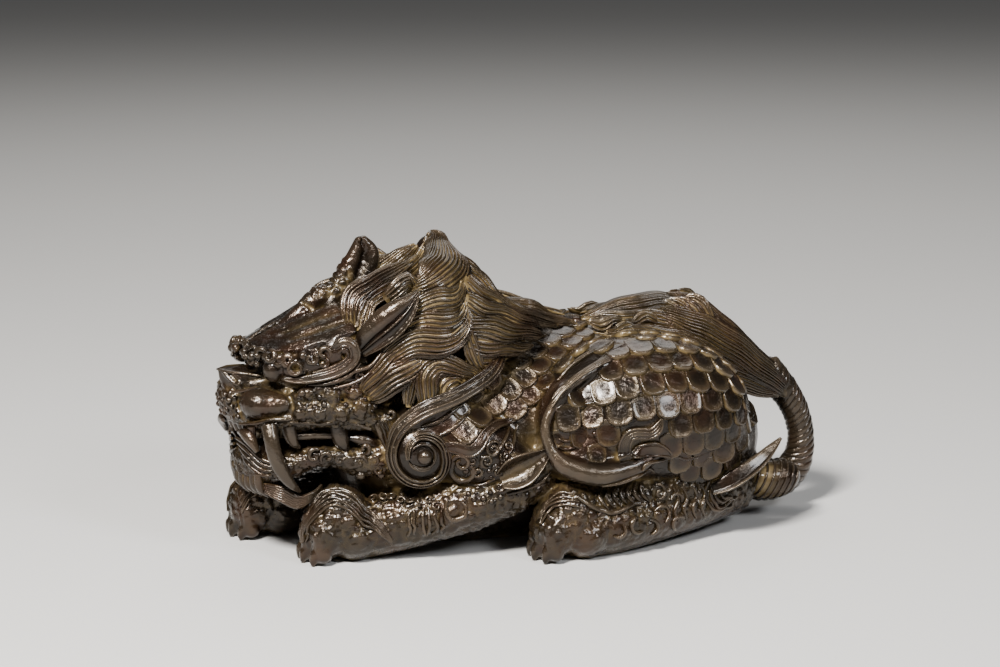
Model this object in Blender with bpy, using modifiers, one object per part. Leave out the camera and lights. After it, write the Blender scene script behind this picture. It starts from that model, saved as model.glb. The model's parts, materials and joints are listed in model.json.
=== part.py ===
"""A bronze qilin lying down, cast in one piece, as a small solid for the desk or the hand.

The beast lies along X with its head towards -X. Its left side faces -Y, and it rests on z = 0
on its paws, its hind feet and its belly. Sizes are in millimetres until the last step.
"""

import math

import bmesh
import bpy
from mathutils import Matrix, Vector

# Driving dimensions, in millimetres.
BODY_RADIUS = 20.0  # of the barrel of the body
SPINE_HEIGHT = 42.0  # of the back between mane and tail
FORE_PAW = (8.4, 7.8, 7.4)  # half length, width and height
HIND_PAW = (8.8, 7.8, 7.2)
TOES = 4
TOE_SPREAD = 0.66  # of the outer toes, as a share of the paw's half width
TOE_REACH = 0.74  # of the middle toes, as a share of the paw's half length
TOE_ARC = 0.26  # by which the outer toes fall back, likewise
TOE_JOINTS = (  # knuckle, pad and claw: how far ahead, how far down as a share, and radii
    (-0.6, 0.12, (2.5, 2.1, 2.6)),
    (0.8, 0.56, (2.4, 1.9, 2.3)),
    (3.0, 0.72, (1.4, 1.0, 1.2)),
)
ROPE_RADIUS = 2.9  # of the bare length of the tail
HEAD_TURN = 8.0  # degrees, towards the beast's left
HEAD_PIVOT = (-28.0, 0.0, 35.0)  # where the head turns on the neck
MIDDLE = (1.86, 0.0, 0.0)  # of the finished box on the ground, moved to the origin at the end

VOXEL = 0.7  # grain of the fused surface
SMOOTHING = 3  # passes that round the joins between forms
KEPT_TRIANGLES = 9600  # of the faceted solid
RINGS_PER_LENGTH = 1.1  # rings in each millimetre of a lock of hair
CUTTER_SIZE = (200, 120, 20)  # of the block that cuts the underside flat

LEFT = -1.0  # the beast's left side, at -Y
RIGHT = 1.0
MM = 0.001


def new_collection(name):
    collection = bpy.data.collections.new(name)
    bpy.context.scene.collection.children.link(collection)
    return collection


def metal(name, colour, roughness, metallic):
    material = bpy.data.materials.new(name)
    material.use_nodes = True
    shader = material.node_tree.nodes["Principled BSDF"]
    shader.inputs["Base Color"].default_value = (*colour, 1.0)
    shader.inputs["Roughness"].default_value = roughness
    shader.inputs["Metallic"].default_value = metallic
    return material


def pour(clay, piece, matrix=None):
    """Adds the shape in piece to the clay, moved by matrix, and frees piece."""
    if matrix is not None:
        bmesh.ops.transform(piece, matrix=matrix, verts=piece.verts)
    mesh = bpy.data.meshes.new("piece")
    piece.to_mesh(mesh)
    piece.free()
    clay.from_mesh(mesh)
    bpy.data.meshes.remove(mesh)


def blob(clay, centre, radii, pitch=0.0, roll=0.0, yaw=0.0):
    """An ellipsoid. Pitch lowers its -X end, yaw turns its -X end to -Y, all in degrees."""
    turn = (
        Matrix.Rotation(math.radians(yaw), 4, "Z")
        @ Matrix.Rotation(math.radians(-pitch), 4, "Y")
        @ Matrix.Rotation(math.radians(roll), 4, "X")
    )
    ball = bmesh.new()
    bmesh.ops.create_uvsphere(ball, u_segments=28, v_segments=18, radius=1.0)
    pour(clay, ball, Matrix.Translation(centre) @ turn @ Matrix.Diagonal((*radii, 1.0)))


def pair(clay, centre, radii, **turns):
    """The same ellipsoid on both sides of the beast. The place given is the left one's."""
    x, y, z = centre
    blob(clay, (x, y, z), radii, **turns)
    turns = {name: angle * (1.0 if name == "pitch" else -1.0) for name, angle in turns.items()}
    blob(clay, (x, -y, z), radii, **turns)


def hull(clay, points):
    """The smallest convex shape round these points."""
    shape = bmesh.new()
    for point in points:
        shape.verts.new(point)
    found = bmesh.ops.convex_hull(shape, input=shape.verts)
    spare = {piece for piece in found["geom_interior"] if isinstance(piece, bmesh.types.BMVert)}
    bmesh.ops.delete(shape, geom=list(spare), context="VERTS")
    pour(clay, shape)


def limb(clay, *stations):
    """A round tapering limb through stations (x, y, z, radius), with rounded ends."""
    curve = bpy.data.curves.new("limb", "CURVE")
    curve.dimensions = "3D"
    curve.bevel_depth = 1.0
    curve.bevel_resolution = 4
    curve.resolution_u = 8
    curve.use_fill_caps = True
    spline = curve.splines.new("BEZIER")
    spline.bezier_points.add(len(stations) - 1)
    for point, (x, y, z, radius) in zip(spline.bezier_points, stations):
        point.co = (x, y, z)
        point.radius = radius
        point.handle_left_type = point.handle_right_type = "AUTO"
    holder = bpy.data.objects.new("limb", curve)
    bpy.context.scene.collection.objects.link(holder)
    graph = bpy.context.evaluated_depsgraph_get()
    mesh = bpy.data.meshes.new_from_object(holder.evaluated_get(graph))
    welded = bmesh.new()
    welded.from_mesh(mesh)
    bmesh.ops.remove_doubles(welded, verts=welded.verts, dist=1e-4)
    pour(clay, welded)
    bpy.data.meshes.remove(mesh)
    bpy.data.objects.remove(holder)
    bpy.data.curves.remove(curve)
    for x, y, z, radius in (stations[0], stations[-1]):
        blob(clay, (x, y, z), (radius, radius, radius))


def on_side(side, *stations):
    """Stations of the left side, or their mirror on the right."""
    return [(x, y if side == LEFT else -y, *rest) for x, y, *rest in stations]


def smooth_path(stations, count):
    """Catmull-Rom values at count even steps through stations, whose numbers all blend alike."""
    padded = [stations[0], *stations, stations[-1]]
    spans = len(stations) - 1
    path = []
    for step in range(count):
        at = spans * step / (count - 1)
        span = min(int(at), spans - 1)
        t = at - span
        path.append(
            [
                0.5
                * (
                    2 * q
                    + (r - p) * t
                    + (2 * p - 5 * q + 4 * r - s) * t**2
                    + (3 * q - p - 3 * r + s) * t**3
                )
                for p, q, r, s in zip(*padded[span : span + 4])
            ]
        )
    return path


def lock(clay, stations, outward, flutes=3, thick=0.55, depth=0.16):
    """A fluted lock of hair through stations (x, y, z, half width), flat side towards outward.

    thick is its half thickness as a share of its half width, and depth that of its flutes.
    """
    length = sum(math.dist(a[:3], b[:3]) for a, b in zip(stations, stations[1:]))
    path = smooth_path(stations, max(6, round(length * RINGS_PER_LENGTH)))
    around = 8 * flutes
    shape = bmesh.new()
    rings = []
    for index, (x, y, z, half_width) in enumerate(path):
        before = Vector(path[max(index - 1, 0)][:3])
        after = Vector(path[min(index + 1, len(path) - 1)][:3])
        along = (after - before).normalized()
        across = along.cross(Vector(outward)).normalized()
        up = across.cross(along).normalized()
        ring = []
        for turn in range(around):
            angle = 2 * math.pi * turn / around
            wave = 1.0 + depth * math.cos(2 * flutes * angle)
            offset = across * math.cos(angle) * wave + up * math.sin(angle) * thick * wave
            ring.append(shape.verts.new(Vector((x, y, z)) + offset * half_width))
        rings.append(ring)
    for low, high in zip(rings, rings[1:]):
        for turn in range(around):
            after = (turn + 1) % around
            shape.faces.new((low[turn], low[after], high[after], high[turn]))
    shape.faces.new(list(reversed(rings[0])))
    shape.faces.new(rings[-1])
    pour(clay, shape)


def leaf(clay, base, tip, half_width, outward, bend=0.12):
    """A pointed blade from base to tip, bowed by bend of its length towards outward."""
    base, tip, outward = Vector(base), Vector(tip), Vector(outward)
    middle = base.lerp(tip, 0.45) + outward * bend * (tip - base).length
    stations = [
        (*base, half_width * 0.75),
        (*middle, half_width),
        (*base.lerp(tip, 0.8), half_width * 0.55),
        (*tip, half_width * 0.16),
    ]
    lock(clay, stations, outward, flutes=1, thick=0.5, depth=0.0)


def trunk(clay):
    """The barrel of the body, lying on the belly, the neck, and the knobs along the spine."""
    middle = SPINE_HEIGHT - BODY_RADIUS
    limb(
        clay,
        (-24, 0, 19, 15),
        (-15, 0, middle - 1, BODY_RADIUS - 1.5),
        (0, 0, middle, BODY_RADIUS - 0.6),
        (16, 0, middle, BODY_RADIUS),
        (29, 0, middle - 1.5, BODY_RADIUS - 1),
        (38.5, 0, 17, 13.0),
    )
    limb(clay, (-14, 0, 9, 12), (32, 0, 10, 13))
    blob(clay, (-16, 0, 37), (13.5, 14.5, 17.5))
    for x in range(10, 23, 4):
        blob(clay, (x, 0, SPINE_HEIGHT - 0.2), (2.2, 1.8, 1.8))


def fore_leg(clay, side, elbow, wrist):
    """Shoulder, upper arm, forearm and paw. Elbow and wrist are the left one's, or its mirror's."""
    ex, ey, ez = elbow
    wx, wy, wz = wrist
    upper_arm = on_side(side, (-19, -13, 25, 11), (-10, -16.5, 20, 8.5), (ex - 2, ey + 1, ez + 1, 4.6))
    limb(clay, *upper_arm)
    blob(clay, *on_side(side, (-21, -14.5, 24)), (11.5, 8.0, 13.5))
    limb(
        clay,
        *on_side(
            side,
            (ex, ey, ez, 3.0),
            (ex - 5.5, ey, ez - 1.6, 4.6),
            (ex - 13, ey + 0.6, ez - 5.2, 6.6),
            (0.4 * ex + 0.6 * wx, 0.4 * ey + 0.6 * wy, 7.8, 7.4),
            (wx, wy, wz, 7.2),
        ),
    )
    paw(clay, side, (wx - 3.6, wy + 0.4, 6.4), FORE_PAW)


def paw(clay, side, centre, radii):
    """A rounded paw with short toes and their claws along its front edge."""
    x, y, z = centre
    length, width, height = radii
    blob(clay, *on_side(side, centre), radii, pitch=8.0)
    for toe in range(TOES):
        spread = 2 * toe / (TOES - 1) - 1
        toe_x = x - length * (TOE_REACH - TOE_ARC * spread**2)
        toe_y = y + spread * width * TOE_SPREAD
        for ahead, drop, size in TOE_JOINTS:
            blob(clay, *on_side(side, (toe_x - ahead, toe_y, z - height * drop)), size)


def hind_leg(clay, side):
    """The broad haunch with its rolled rim, the folded foot and the spur of hair at the heel."""
    blob(clay, *on_side(side, (21, -13.5, 25.5)), (23.0, 14.0, 15.8))
    blob(clay, *on_side(side, (30.5, -11, 22)), (14.6, 13.5, 15.5))
    blob(clay, *on_side(side, (10.5, -19, 19.5)), (12.5, 7.6, 7.5))
    blob(clay, *on_side(side, (4.5, -19.5, 26.0)), (6.0, 5.6, 8.5))
    limb(
        clay,
        *on_side(
            side,
            (42.5, -11, 8, 6.8),
            (34, -16, 8, 7.8),
            (23, -19.5, 7.8, 8.0),
            (12, -22.5, 7.4, 7.8),
            (6, -24, 6.8, 7.4),
        ),
    )
    paw(clay, side, on_side(LEFT, (4.6, -24.0, 6.4))[0], HIND_PAW)
    limb(
        clay,
        *on_side(
            side,
            (21.5, -17, 39.6, 1.0),
            (11.3, -21, 37.2, 1.7),
            (3.2, -23, 32.6, 2.0),
            (-0.4, -24, 27.5, 2.0),
            (0.2, -25.0, 22.5, 2.2),
            (3.2, -26.2, 18.6, 2.6),
            (9.3, -27.0, 17.0, 2.8),
            (16, -26.8, 18.0, 2.4),
            (21, -26.2, 20.0, 1.2),
        ),
    )
    spur = on_side(
        side,
        (36, -18.2, 9.0, 3.0),
        (41.5, -20.0, 12.2, 3.2),
        (46.2, -19.8, 15.6, 2.3),
        (50.6, -18.2, 19.4, 0.7),
    )
    lock(clay, spur, on_side(side, (-0.3, -1.0, 0.2))[0], flutes=1, thick=0.6, depth=0.0)


def shoulder_scroll(clay, side):
    """The band that rises from the scroll to the mane, the scroll with its boss, and the elbow."""
    limb(
        clay,
        *on_side(
            side,
            (-6.3, -15, 41.4, 0.9),
            (-9.6, -18.4, 36.8, 1.9),
            (-16.7, -20.6, 32.6, 2.2),
            (-24.7, -21.4, 30.4, 2.2),
            (-29.4, -21.6, 25.3, 2.2),
            (-29.6, -22.4, 20.2, 2.2),
            (-26.4, -23.0, 17.2, 2.2),
            (-22.0, -23.6, 18.0, 1.8),
            (-20.8, -24.0, 21.8, 1.4),
            (-23.0, -23.4, 25.0, 1.0),
        ),
    )
    blob(clay, *on_side(side, (-25.0, -22.4, 21.6)), (3.0, 2.6, 3.0))
    blob(clay, *on_side(side, (-24.0, -18.0, 20.5)), (6.4, 5.4, 6.0))
    limb(
        clay,
        *on_side(
            side,
            (-19.6, -23.8, 22.4, 1.4),
            (-15.4, -24.0, 22.2, 1.5),
            (-11.6, -23.6, 25.0, 1.4),
            (-6.6, -22.6, 25.8, 0.7),
        ),
    )
    outward = on_side(side, (0.0, -1.0, 0.0))[0]
    base, tip = on_side(side, (-8.0, -20.6, 14.8), (0.8, -23.4, 22.0))
    leaf(clay, base, tip, 2.8, outward)
    base, tip = on_side(side, (-8.0, -20.6, 13.6), (-0.4, -22.6, 13.6))
    leaf(clay, base, tip, 2.4, outward)


def tail(clay):
    """The rope of the tail, in a loop behind the rump, and the tuft that lies over the back."""
    blob(clay, (48.6, -1.0, 7.8), (6.6, 6.4, 5.6), pitch=-12)
    limb(
        clay,
        (43, 0, 10.0, 5.0),
        (50, 0, 7.0, 4.8),
        (56, 0, 5.8, 4.2),
        (60.4, 0, 8.6, 3.5),
        (61.8, 0, 14, ROPE_RADIUS),
        (60.6, 0, 20, ROPE_RADIUS),
        (57.6, 0, 25.2, ROPE_RADIUS * 1.1),
        (53.6, 0, 29.2, ROPE_RADIUS * 1.3),
    )
    limb(
        clay,
        (54, 0, 28.4, 3.9),
        (46, 0, 33.0, 5.4),
        (38, 0, 38.4, 6.4),
        (31, 0, 39.4, 6.8),
        (22, 0, 38.8, 5.4),
        (15, 0, 38, 3.6),
    )
    crest = [
        (58, 0, 25.6, 2.6),
        (50, 0, 32.4, 4.0),
        (42.5, 0, 39.2, 4.6),
        (36.6, 0, 44.6, 3.4),
        (31.4, 0, 46.2, 1.2),
    ]
    upper = [
        (56, -1.6, 26.0, 2.4),
        (47, -3.8, 33.4, 3.8),
        (38, -5.2, 40.2, 4.6),
        (30, -4.8, 43.6, 3.8),
        (21, -3.0, 44.0, 1.2),
    ]
    lower = [
        (55, -2, 26.0, 2.2),
        (45, -5.6, 30.8, 3.6),
        (35, -8.4, 36.4, 4.4),
        (26, -8.4, 39.6, 3.6),
        (15, -7.0, 40.6, 1.2),
    ]
    lock(clay, crest, (0.35, 0.0, 1.0))
    for side in (LEFT, RIGHT):
        lock(clay, on_side(side, *upper), on_side(side, (0.3, -0.5, 1.0))[0])
        lock(clay, on_side(side, *lower), on_side(side, (0.2, -0.9, 0.8))[0])


def mane(clay):
    """The crest over the neck, and the locks that curl down each side of it."""
    curled = (
        # the tall one, the two below it, the two that fall to the shoulder, and the cheek's
        [
            (-25.5, -11, 51.0, 2.0),
            (-19.9, -11.3, 52.6, 4.4),
            (-15.6, -9, 55.2, 4.4),
            (-15.6, -5, 58.6, 2.8),
            (-18.4, -1.6, 61.4, 0.9),
        ],
        [
            (-26.5, -14, 44.6, 2.0),
            (-20.5, -15, 46.2, 4.2),
            (-16.0, -13.6, 49.4, 3.8),
            (-18.4, -12, 52.4, 2.0),
        ],
        [
            (-29, -15.5, 38.4, 2.0),
            (-25.6, -16.4, 42.2, 3.0),
            (-20.4, -16, 43.0, 3.6),
            (-15.4, -14.6, 44.4, 3.2),
            (-13.4, -13, 47.4, 1.6),
        ],
        [(-23.5, -15, 42, 2.6), (-23.2, -17.4, 37, 2.8), (-20.5, -18.0, 33.6, 1.2)],
        [
            (-18.5, -14.6, 42, 2.4),
            (-14.2, -16, 39.6, 2.2),
            (-13.4, -16.4, 37.0, 1.6),
            (-15.8, -17.4, 36.4, 1.0),
        ],
        [
            (-25.5, -14.6, 42.6, 2.4),
            (-27.8, -17, 39.0, 2.8),
            (-30.8, -17.6, 36.6, 2.2),
            (-33.4, -17.4, 34.8, 0.8),
        ],
    )
    over_neck = (
        [(-12.5, -5.5, 55.6, 3.4), (-9.4, -9, 50.6, 5.4), (-5.4, -10.4, 46, 4.8), (1.4, -9.4, 42.6, 1.6)],
        [(-13.4, -11, 49.6, 3.0), (-11.0, -13.6, 45.0, 4.6), (-6.4, -13.6, 41.8, 3.6), (0.4, -11, 40.4, 1.4)],
    )
    crest = [
        (-12.4, 0, 54.6, 3.0),
        (-7.0, 0, 51.4, 6.0),
        (-1.2, 0, 46.2, 5.2),
        (5.0, 0, 43.0, 3.6),
        (10.5, 0, 41.6, 1.4),
    ]
    blob(clay, (-17.5, 0, 47), (9.5, 10.5, 11.5))
    blob(clay, (-7, 0, 42), (10.0, 11.0, 8.0), pitch=-28)
    for side in (LEFT, RIGHT):
        blob(clay, *on_side(side, (-17.5, -12.5, 40.5)), (7.0, 4.6, 5.4))
        for stations in curled:
            lock(clay, on_side(side, *stations), on_side(side, (0.0, -1.0, 0.25))[0])
        for stations in over_neck:
            lock(clay, on_side(side, *stations), on_side(side, (0.3, -0.7, 0.8))[0])
    lock(clay, crest, (0.4, 0, 1))


def brow(head):
    """The broad plate over the eyes and the row of curls along its edge."""
    edge = (
        (-56.4, 0, 42.2),
        (-55.2, 7.0, 41.8),
        (-51.6, 11.6, 42.8),
        (-46.0, 14.8, 44.2),
        (-39.6, 16.6, 46.4),
        (-37.6, 13.4, 49.2),
    )
    crown = ((-51.2, 0, 45.4), (-41.0, 0, 49.6), (-37.5, 6.0, 50.0), (-35.0, 0, 47.0), (-34.0, 12.0, 46.0))
    curl_path = [  # x, y, z, radius
        (-56.4, -2.4, 40.6, 1.5),
        (-54.4, -8.4, 40.2, 1.6),
        (-49.6, -13.2, 40.6, 1.8),
        (-44.4, -15.6, 41.4, 2.1),
        (-39.0, -16.6, 43.6, 2.6),
    ]
    curls = 9
    top = [(x, y * side, z) for x, y, z in (*edge, *crown) for side in (LEFT, RIGHT)]
    bottom = [(x + 2.0, 0.9 * y, z - 4.4) for x, y, z in top]
    hull(head, [*top, *bottom])
    for x, y, z, size in smooth_path(curl_path, curls):
        pair(head, (x, y, z), (size, size * 0.9, size))


def skull(head):
    """Cranium, muzzle, upturned nose, and the horn with its knobbed front."""
    blob(head, (-33, 0, 38), (14, 14, 13))
    blob(head, (-47.5, 0, 37), (9, 12.4, 7))
    blob(head, (-50, 0, 32.6), (10.0, 10.6, 5.6))
    blob(head, (-56.8, 0, 33.4), (3.6, 5.4, 4.2))
    limb(
        head,
        (-56.4, -4.6, 34.6, 1.7),
        (-59.2, -2.4, 36.2, 1.6),
        (-59.2, 2.4, 36.2, 1.6),
        (-56.4, 4.6, 34.6, 1.7),
    )
    limb(head, (-50.0, 0, 44.6, 1.4), (-46.5, 0, 47.0, 2.3), (-42.8, 0, 49.4, 2.8), (-40.5, 0, 51.5, 2.4))
    limb(head, (-39.0, 0, 48, 3.4), (-36.4, 0, 53.4, 2.7), (-33.8, 0, 57.6, 2.2), (-31.8, 0, 60.6, 1.4))
    limb(head, (-34.6, 0, 48, 2.8), (-31.8, 0, 53.6, 2.1), (-30.8, 0, 58.6, 1.6))
    blade = ((-38.0, 2.0, 50), (-33.0, 2.0, 49), (-33.4, 1.6, 57), (-30.4, 1.2, 57.4))
    hull(head, [(x, y * side, z) for x, y, z in blade for side in (LEFT, RIGHT)])


def face(head):
    """Eyes, whisker pads, lips and warts."""
    pair(head, (-49.6, -12.0, 38.6), (3.2, 2.6, 2.6))
    pair(head, (-54.6, -7.8, 31.6), (4.6, 4.4, 3.6))
    pair(head, (-44.5, -12.0, 32.8), (8.0, 3.6, 4.2))
    lip = [
        (-32.5, -15.2, 28.4, 3.2),
        (-39, -15.0, 28.4, 3.2),
        (-46, -13.6, 28.4, 3.0),
        (-52.4, -10.8, 28.2, 2.8),
        (-56.4, -6.2, 28.0, 2.6),
        (-57.4, 0, 27.8, 2.6),
    ]
    limb(head, *lip, *((x, -y, z, radius) for x, y, z, radius in reversed(lip[:-1])))
    warts = 6
    first, last = -50.5, -33.5
    for index in range(warts):
        t = index / (warts - 1)
        out = 14.0 + 2.6 * math.sin(math.pi * t * 0.7)
        pair(head, (first + (last - first) * t, -out, 30.6), (1.8, 1.5, 1.7))
    pair(head, (-33.2, -15.4, 26.2), (2.2, 2.0, 4.4))


def jaws(head):
    """The lower jaw with its chin, the tongue, the fangs and the cheek teeth."""
    blob(head, (-46.5, 0, 29.6), (10.5, 11.5, 3.0))
    jaw = [
        (-32.0, -13.0, 21.0, 4.6),
        (-38.6, -13.0, 21.8, 2.7),
        (-44.6, -11.6, 21.7, 2.6),
        (-50.2, -9.2, 19.6, 3.1),
        (-53.8, -5.0, 18.2, 3.4),
        (-54.8, 0, 18.0, 3.4),
    ]
    limb(head, *jaw, *((x, -y, z, radius) for x, y, z, radius in reversed(jaw[:-1])))
    blob(head, (-44, 0, 21.6), (10.0, 10.6, 2.4))
    blob(head, (-45, 0, 24.4), (9.0, 5.4, 2.4))
    pair(head, (-29.6, -11.5, 22), (6.5, 4.6, 8.0))
    fang = [
        (-55.0, -11.4, 28.2, 2.3),
        (-54.4, -13.0, 22.8, 2.0),
        (-52.8, -13.2, 18.6, 1.5),
        (-50.4, -12.6, 15.2, 0.8),
    ]
    teeth = (
        [(-50.6, -11.8, 27.0, 1.7), (-50.2, -11.8, 23.6, 1.1)],
        [(-42.0, -13.2, 27.0, 2.2), (-42.0, -13.4, 23.4, 1.6)],
        [(-37.6, -13.6, 26.4, 1.9), (-36.4, -13.8, 23.6, 1.3)],
    )
    beard = [(-54.6, -5, 15.2, 1.9), (-52, -9.6, 14.2, 2.1), (-47.8, -10.6, 14.4, 1.2)]
    limb(head, (-53.4, -6, 15.6, 2.2), (-53.8, 0, 14.8, 2.6), (-53.4, 6, 15.6, 2.2))
    for side in (LEFT, RIGHT):
        for stations in (fang, *teeth, beard):
            limb(head, *on_side(side, *stations))


def ears(head):
    """A pointed leaf on each side, and a lock of hair behind it."""
    hair = [
        (-34.6, -9.0, 44.6, 2.6),
        (-34.0, -10.0, 49.0, 2.8),
        (-30.4, -8.6, 52.8, 2.6),
        (-25.6, -6.4, 55.2, 1.2),
    ]
    for side in (LEFT, RIGHT):
        base, tip = on_side(side, (-37.0, -14.8, 41.4), (-28.4, -18.4, 53.0))
        leaf(head, base, tip, 3.3, on_side(side, (0.25, -1.0, 0.5))[0], bend=0.14)
        blob(head, *on_side(side, (-33, -12.5, 43.5)), (5.0, 4.0, 5.0))
        lock(head, on_side(side, *hair), on_side(side, (-0.3, -0.8, 0.8))[0])


def head_into(clay):
    """The head is made facing -X, then turned on the neck."""
    head = bmesh.new()
    brow(head)
    skull(head)
    face(head)
    jaws(head)
    ears(head)
    pivot = Matrix.Translation(HEAD_PIVOT)
    pour(clay, head, pivot @ Matrix.Rotation(math.radians(HEAD_TURN), 4, "Z") @ pivot.inverted())


def ground_cutter(collection):
    """A block whose top is the ground, which cuts the feet and the belly flat."""
    length, width, depth = (size * MM for size in CUTTER_SIZE)
    bpy.ops.mesh.primitive_cube_add(size=1.0, location=(0, 0, -depth / 2))
    cutter = bpy.context.object
    cutter.name = "ground_cutter"
    cutter.dimensions = (length, width, depth)
    bpy.ops.object.transform_apply(location=False, rotation=False, scale=True)
    for owner in list(cutter.users_collection):
        owner.objects.unlink(cutter)
    collection.objects.link(cutter)
    cutter.hide_render = True
    cutter.display_type = "WIRE"
    return cutter


def build():
    for old in list(bpy.data.objects):
        bpy.data.objects.remove(old)
    parts = new_collection("bronze_qilin")
    cutters = new_collection("cutters")

    clay = bmesh.new()
    trunk(clay)
    fore_leg(clay, LEFT, elbow=(-0.5, -20.5, 15.0), wrist=(-34.5, -14.2, 6.8))
    fore_leg(clay, RIGHT, elbow=(-1.5, -20.0, 14.6), wrist=(-43.6, -10.2, 6.4))
    for side in (LEFT, RIGHT):
        hind_leg(clay, side)
        shoulder_scroll(clay, side)
    tail(clay)
    mane(clay)
    head_into(clay)
    bmesh.ops.recalc_face_normals(clay, faces=clay.faces)
    bmesh.ops.translate(clay, vec=-Vector(MIDDLE), verts=clay.verts)
    bmesh.ops.scale(clay, vec=(MM, MM, MM), verts=clay.verts)
    mesh = bpy.data.meshes.new("qilin")
    clay.to_mesh(mesh)
    clay.free()

    qilin = bpy.data.objects.new("qilin", mesh)
    parts.objects.link(qilin)
    mesh.materials.append(metal("dark_bronze", (0.075, 0.045, 0.025), 0.35, 0.9))

    fuse = qilin.modifiers.new("fuse", "REMESH")
    fuse.mode = "VOXEL"
    fuse.voxel_size = VOXEL * MM
    soften = qilin.modifiers.new("soften", "SMOOTH")
    soften.factor = 0.5
    soften.iterations = SMOOTHING
    graph = bpy.context.evaluated_depsgraph_get()
    fine = qilin.evaluated_get(graph).to_mesh()
    fine.calc_loop_triangles()
    facets = qilin.modifiers.new("facets", "DECIMATE")
    facets.ratio = KEPT_TRIANGLES / len(fine.loop_triangles)
    ground = qilin.modifiers.new("ground", "BOOLEAN")
    ground.operation = "DIFFERENCE"
    ground.object = ground_cutter(cutters)


build()
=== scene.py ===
import json
import math

import bmesh
import bpy
import numpy as np
from mathutils import Matrix, Vector
from mathutils.bvhtree import BVHTree

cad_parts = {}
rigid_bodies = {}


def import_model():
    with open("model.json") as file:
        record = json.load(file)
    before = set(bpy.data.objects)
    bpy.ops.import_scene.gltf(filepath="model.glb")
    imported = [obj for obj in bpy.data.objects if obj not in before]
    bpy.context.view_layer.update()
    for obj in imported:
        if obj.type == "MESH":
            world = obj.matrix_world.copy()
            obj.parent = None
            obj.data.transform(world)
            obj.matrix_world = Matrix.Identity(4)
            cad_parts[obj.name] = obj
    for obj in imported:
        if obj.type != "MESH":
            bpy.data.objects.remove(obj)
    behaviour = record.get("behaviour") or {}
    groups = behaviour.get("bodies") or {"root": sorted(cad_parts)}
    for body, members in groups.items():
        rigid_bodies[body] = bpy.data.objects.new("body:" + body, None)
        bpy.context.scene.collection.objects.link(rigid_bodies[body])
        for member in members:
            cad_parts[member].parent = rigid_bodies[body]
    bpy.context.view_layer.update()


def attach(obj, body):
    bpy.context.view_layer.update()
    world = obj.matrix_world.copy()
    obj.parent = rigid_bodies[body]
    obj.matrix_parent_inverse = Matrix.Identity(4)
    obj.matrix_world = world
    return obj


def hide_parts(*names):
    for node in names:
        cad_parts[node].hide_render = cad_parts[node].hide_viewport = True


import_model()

# The forms below are in millimetres, in the clay's own frame: x along the beast with the head at -x,
# its left side at -y, the ground at z = 0. toFrame() takes a finished mesh into the frame, in metres.
beast = {
    "middle": (1.86, 0.0, 0.0),  # the clay's point that lies over the frame's origin
    "headTurn": 8.0,  # degrees, towards the beast's left
    "headPivot": (-28.0, 0.0, 35.0),
    "spineHeight": 42.0,
    "bodyRadius": 20.0,
}
left = -1.0
right = 1.0
rng = np.random.default_rng(20)


# shaping helpers

def onSide(side, *stations):
    # stations of the left side, or their mirror on the right
    return [(x, y if side == left else -y, *rest) for x, y, *rest in stations]


def placed(name, data):
    piece = bpy.data.objects.new(name, data)
    bpy.context.scene.collection.objects.link(piece)
    return piece


def meshOf(name, shape):
    mesh = bpy.data.meshes.new(name)
    shape.to_mesh(mesh)
    shape.free()
    return mesh


def pour(clay, piece, matrix=None):
    if matrix is not None:
        bmesh.ops.transform(piece, matrix=matrix, verts=piece.verts)
    mesh = meshOf("piece", piece)
    clay.from_mesh(mesh)
    bpy.data.meshes.remove(mesh)


def blob(clay, centre, radii, pitch=0.0):
    # an ellipsoid; pitch lowers its -x end
    ball = bmesh.new()
    bmesh.ops.create_uvsphere(ball, u_segments=28, v_segments=18, radius=1.0)
    turn = Matrix.Rotation(math.radians(-pitch), 4, "Y")
    pour(clay, ball, Matrix.Translation(centre) @ turn @ Matrix.Diagonal((*radii, 1.0)))


def pair(clay, centre, radii):
    for side in (left, right):
        blob(clay, onSide(side, centre)[0], radii)


def hull(clay, points):
    shape = bmesh.new()
    for point in points:
        shape.verts.new(point)
    found = bmesh.ops.convex_hull(shape, input=shape.verts)
    spare = {piece for piece in found["geom_interior"] if isinstance(piece, bmesh.types.BMVert)}
    bmesh.ops.delete(shape, geom=list(spare), context="VERTS")
    pour(clay, shape)


def smoothPath(stations, count):
    # Catmull-Rom through the stations, at count even steps
    knots = np.array([stations[0], *stations, stations[-1]], float)
    at = np.linspace(0.0, len(stations) - 1, count)
    span = np.minimum(at.astype(int), len(stations) - 2)
    t = (at - span)[:, None]
    p, q, r, s = (knots[span + k] for k in range(4))
    square = 2 * p - 5 * q + 4 * r - s
    cube = 3 * q - p - 3 * r + s
    return 0.5 * (2 * q + (r - p) * t + square * t**2 + cube * t**3)


def pathLength(stations):
    points = np.array(stations, float)[:, :3]
    return float(np.linalg.norm(np.diff(points, axis=0), axis=1).sum())


def skinRings(shape, rings):
    # quads from ring to ring, and a cap on each end
    count = len(rings[0])
    for low, high in zip(rings, rings[1:]):
        for k in range(count):
            following = (k + 1) % count
            shape.faces.new((low[k], low[following], high[following], high[k]))
    shape.faces.new(list(reversed(rings[0])))
    shape.faces.new(rings[-1])


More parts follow.
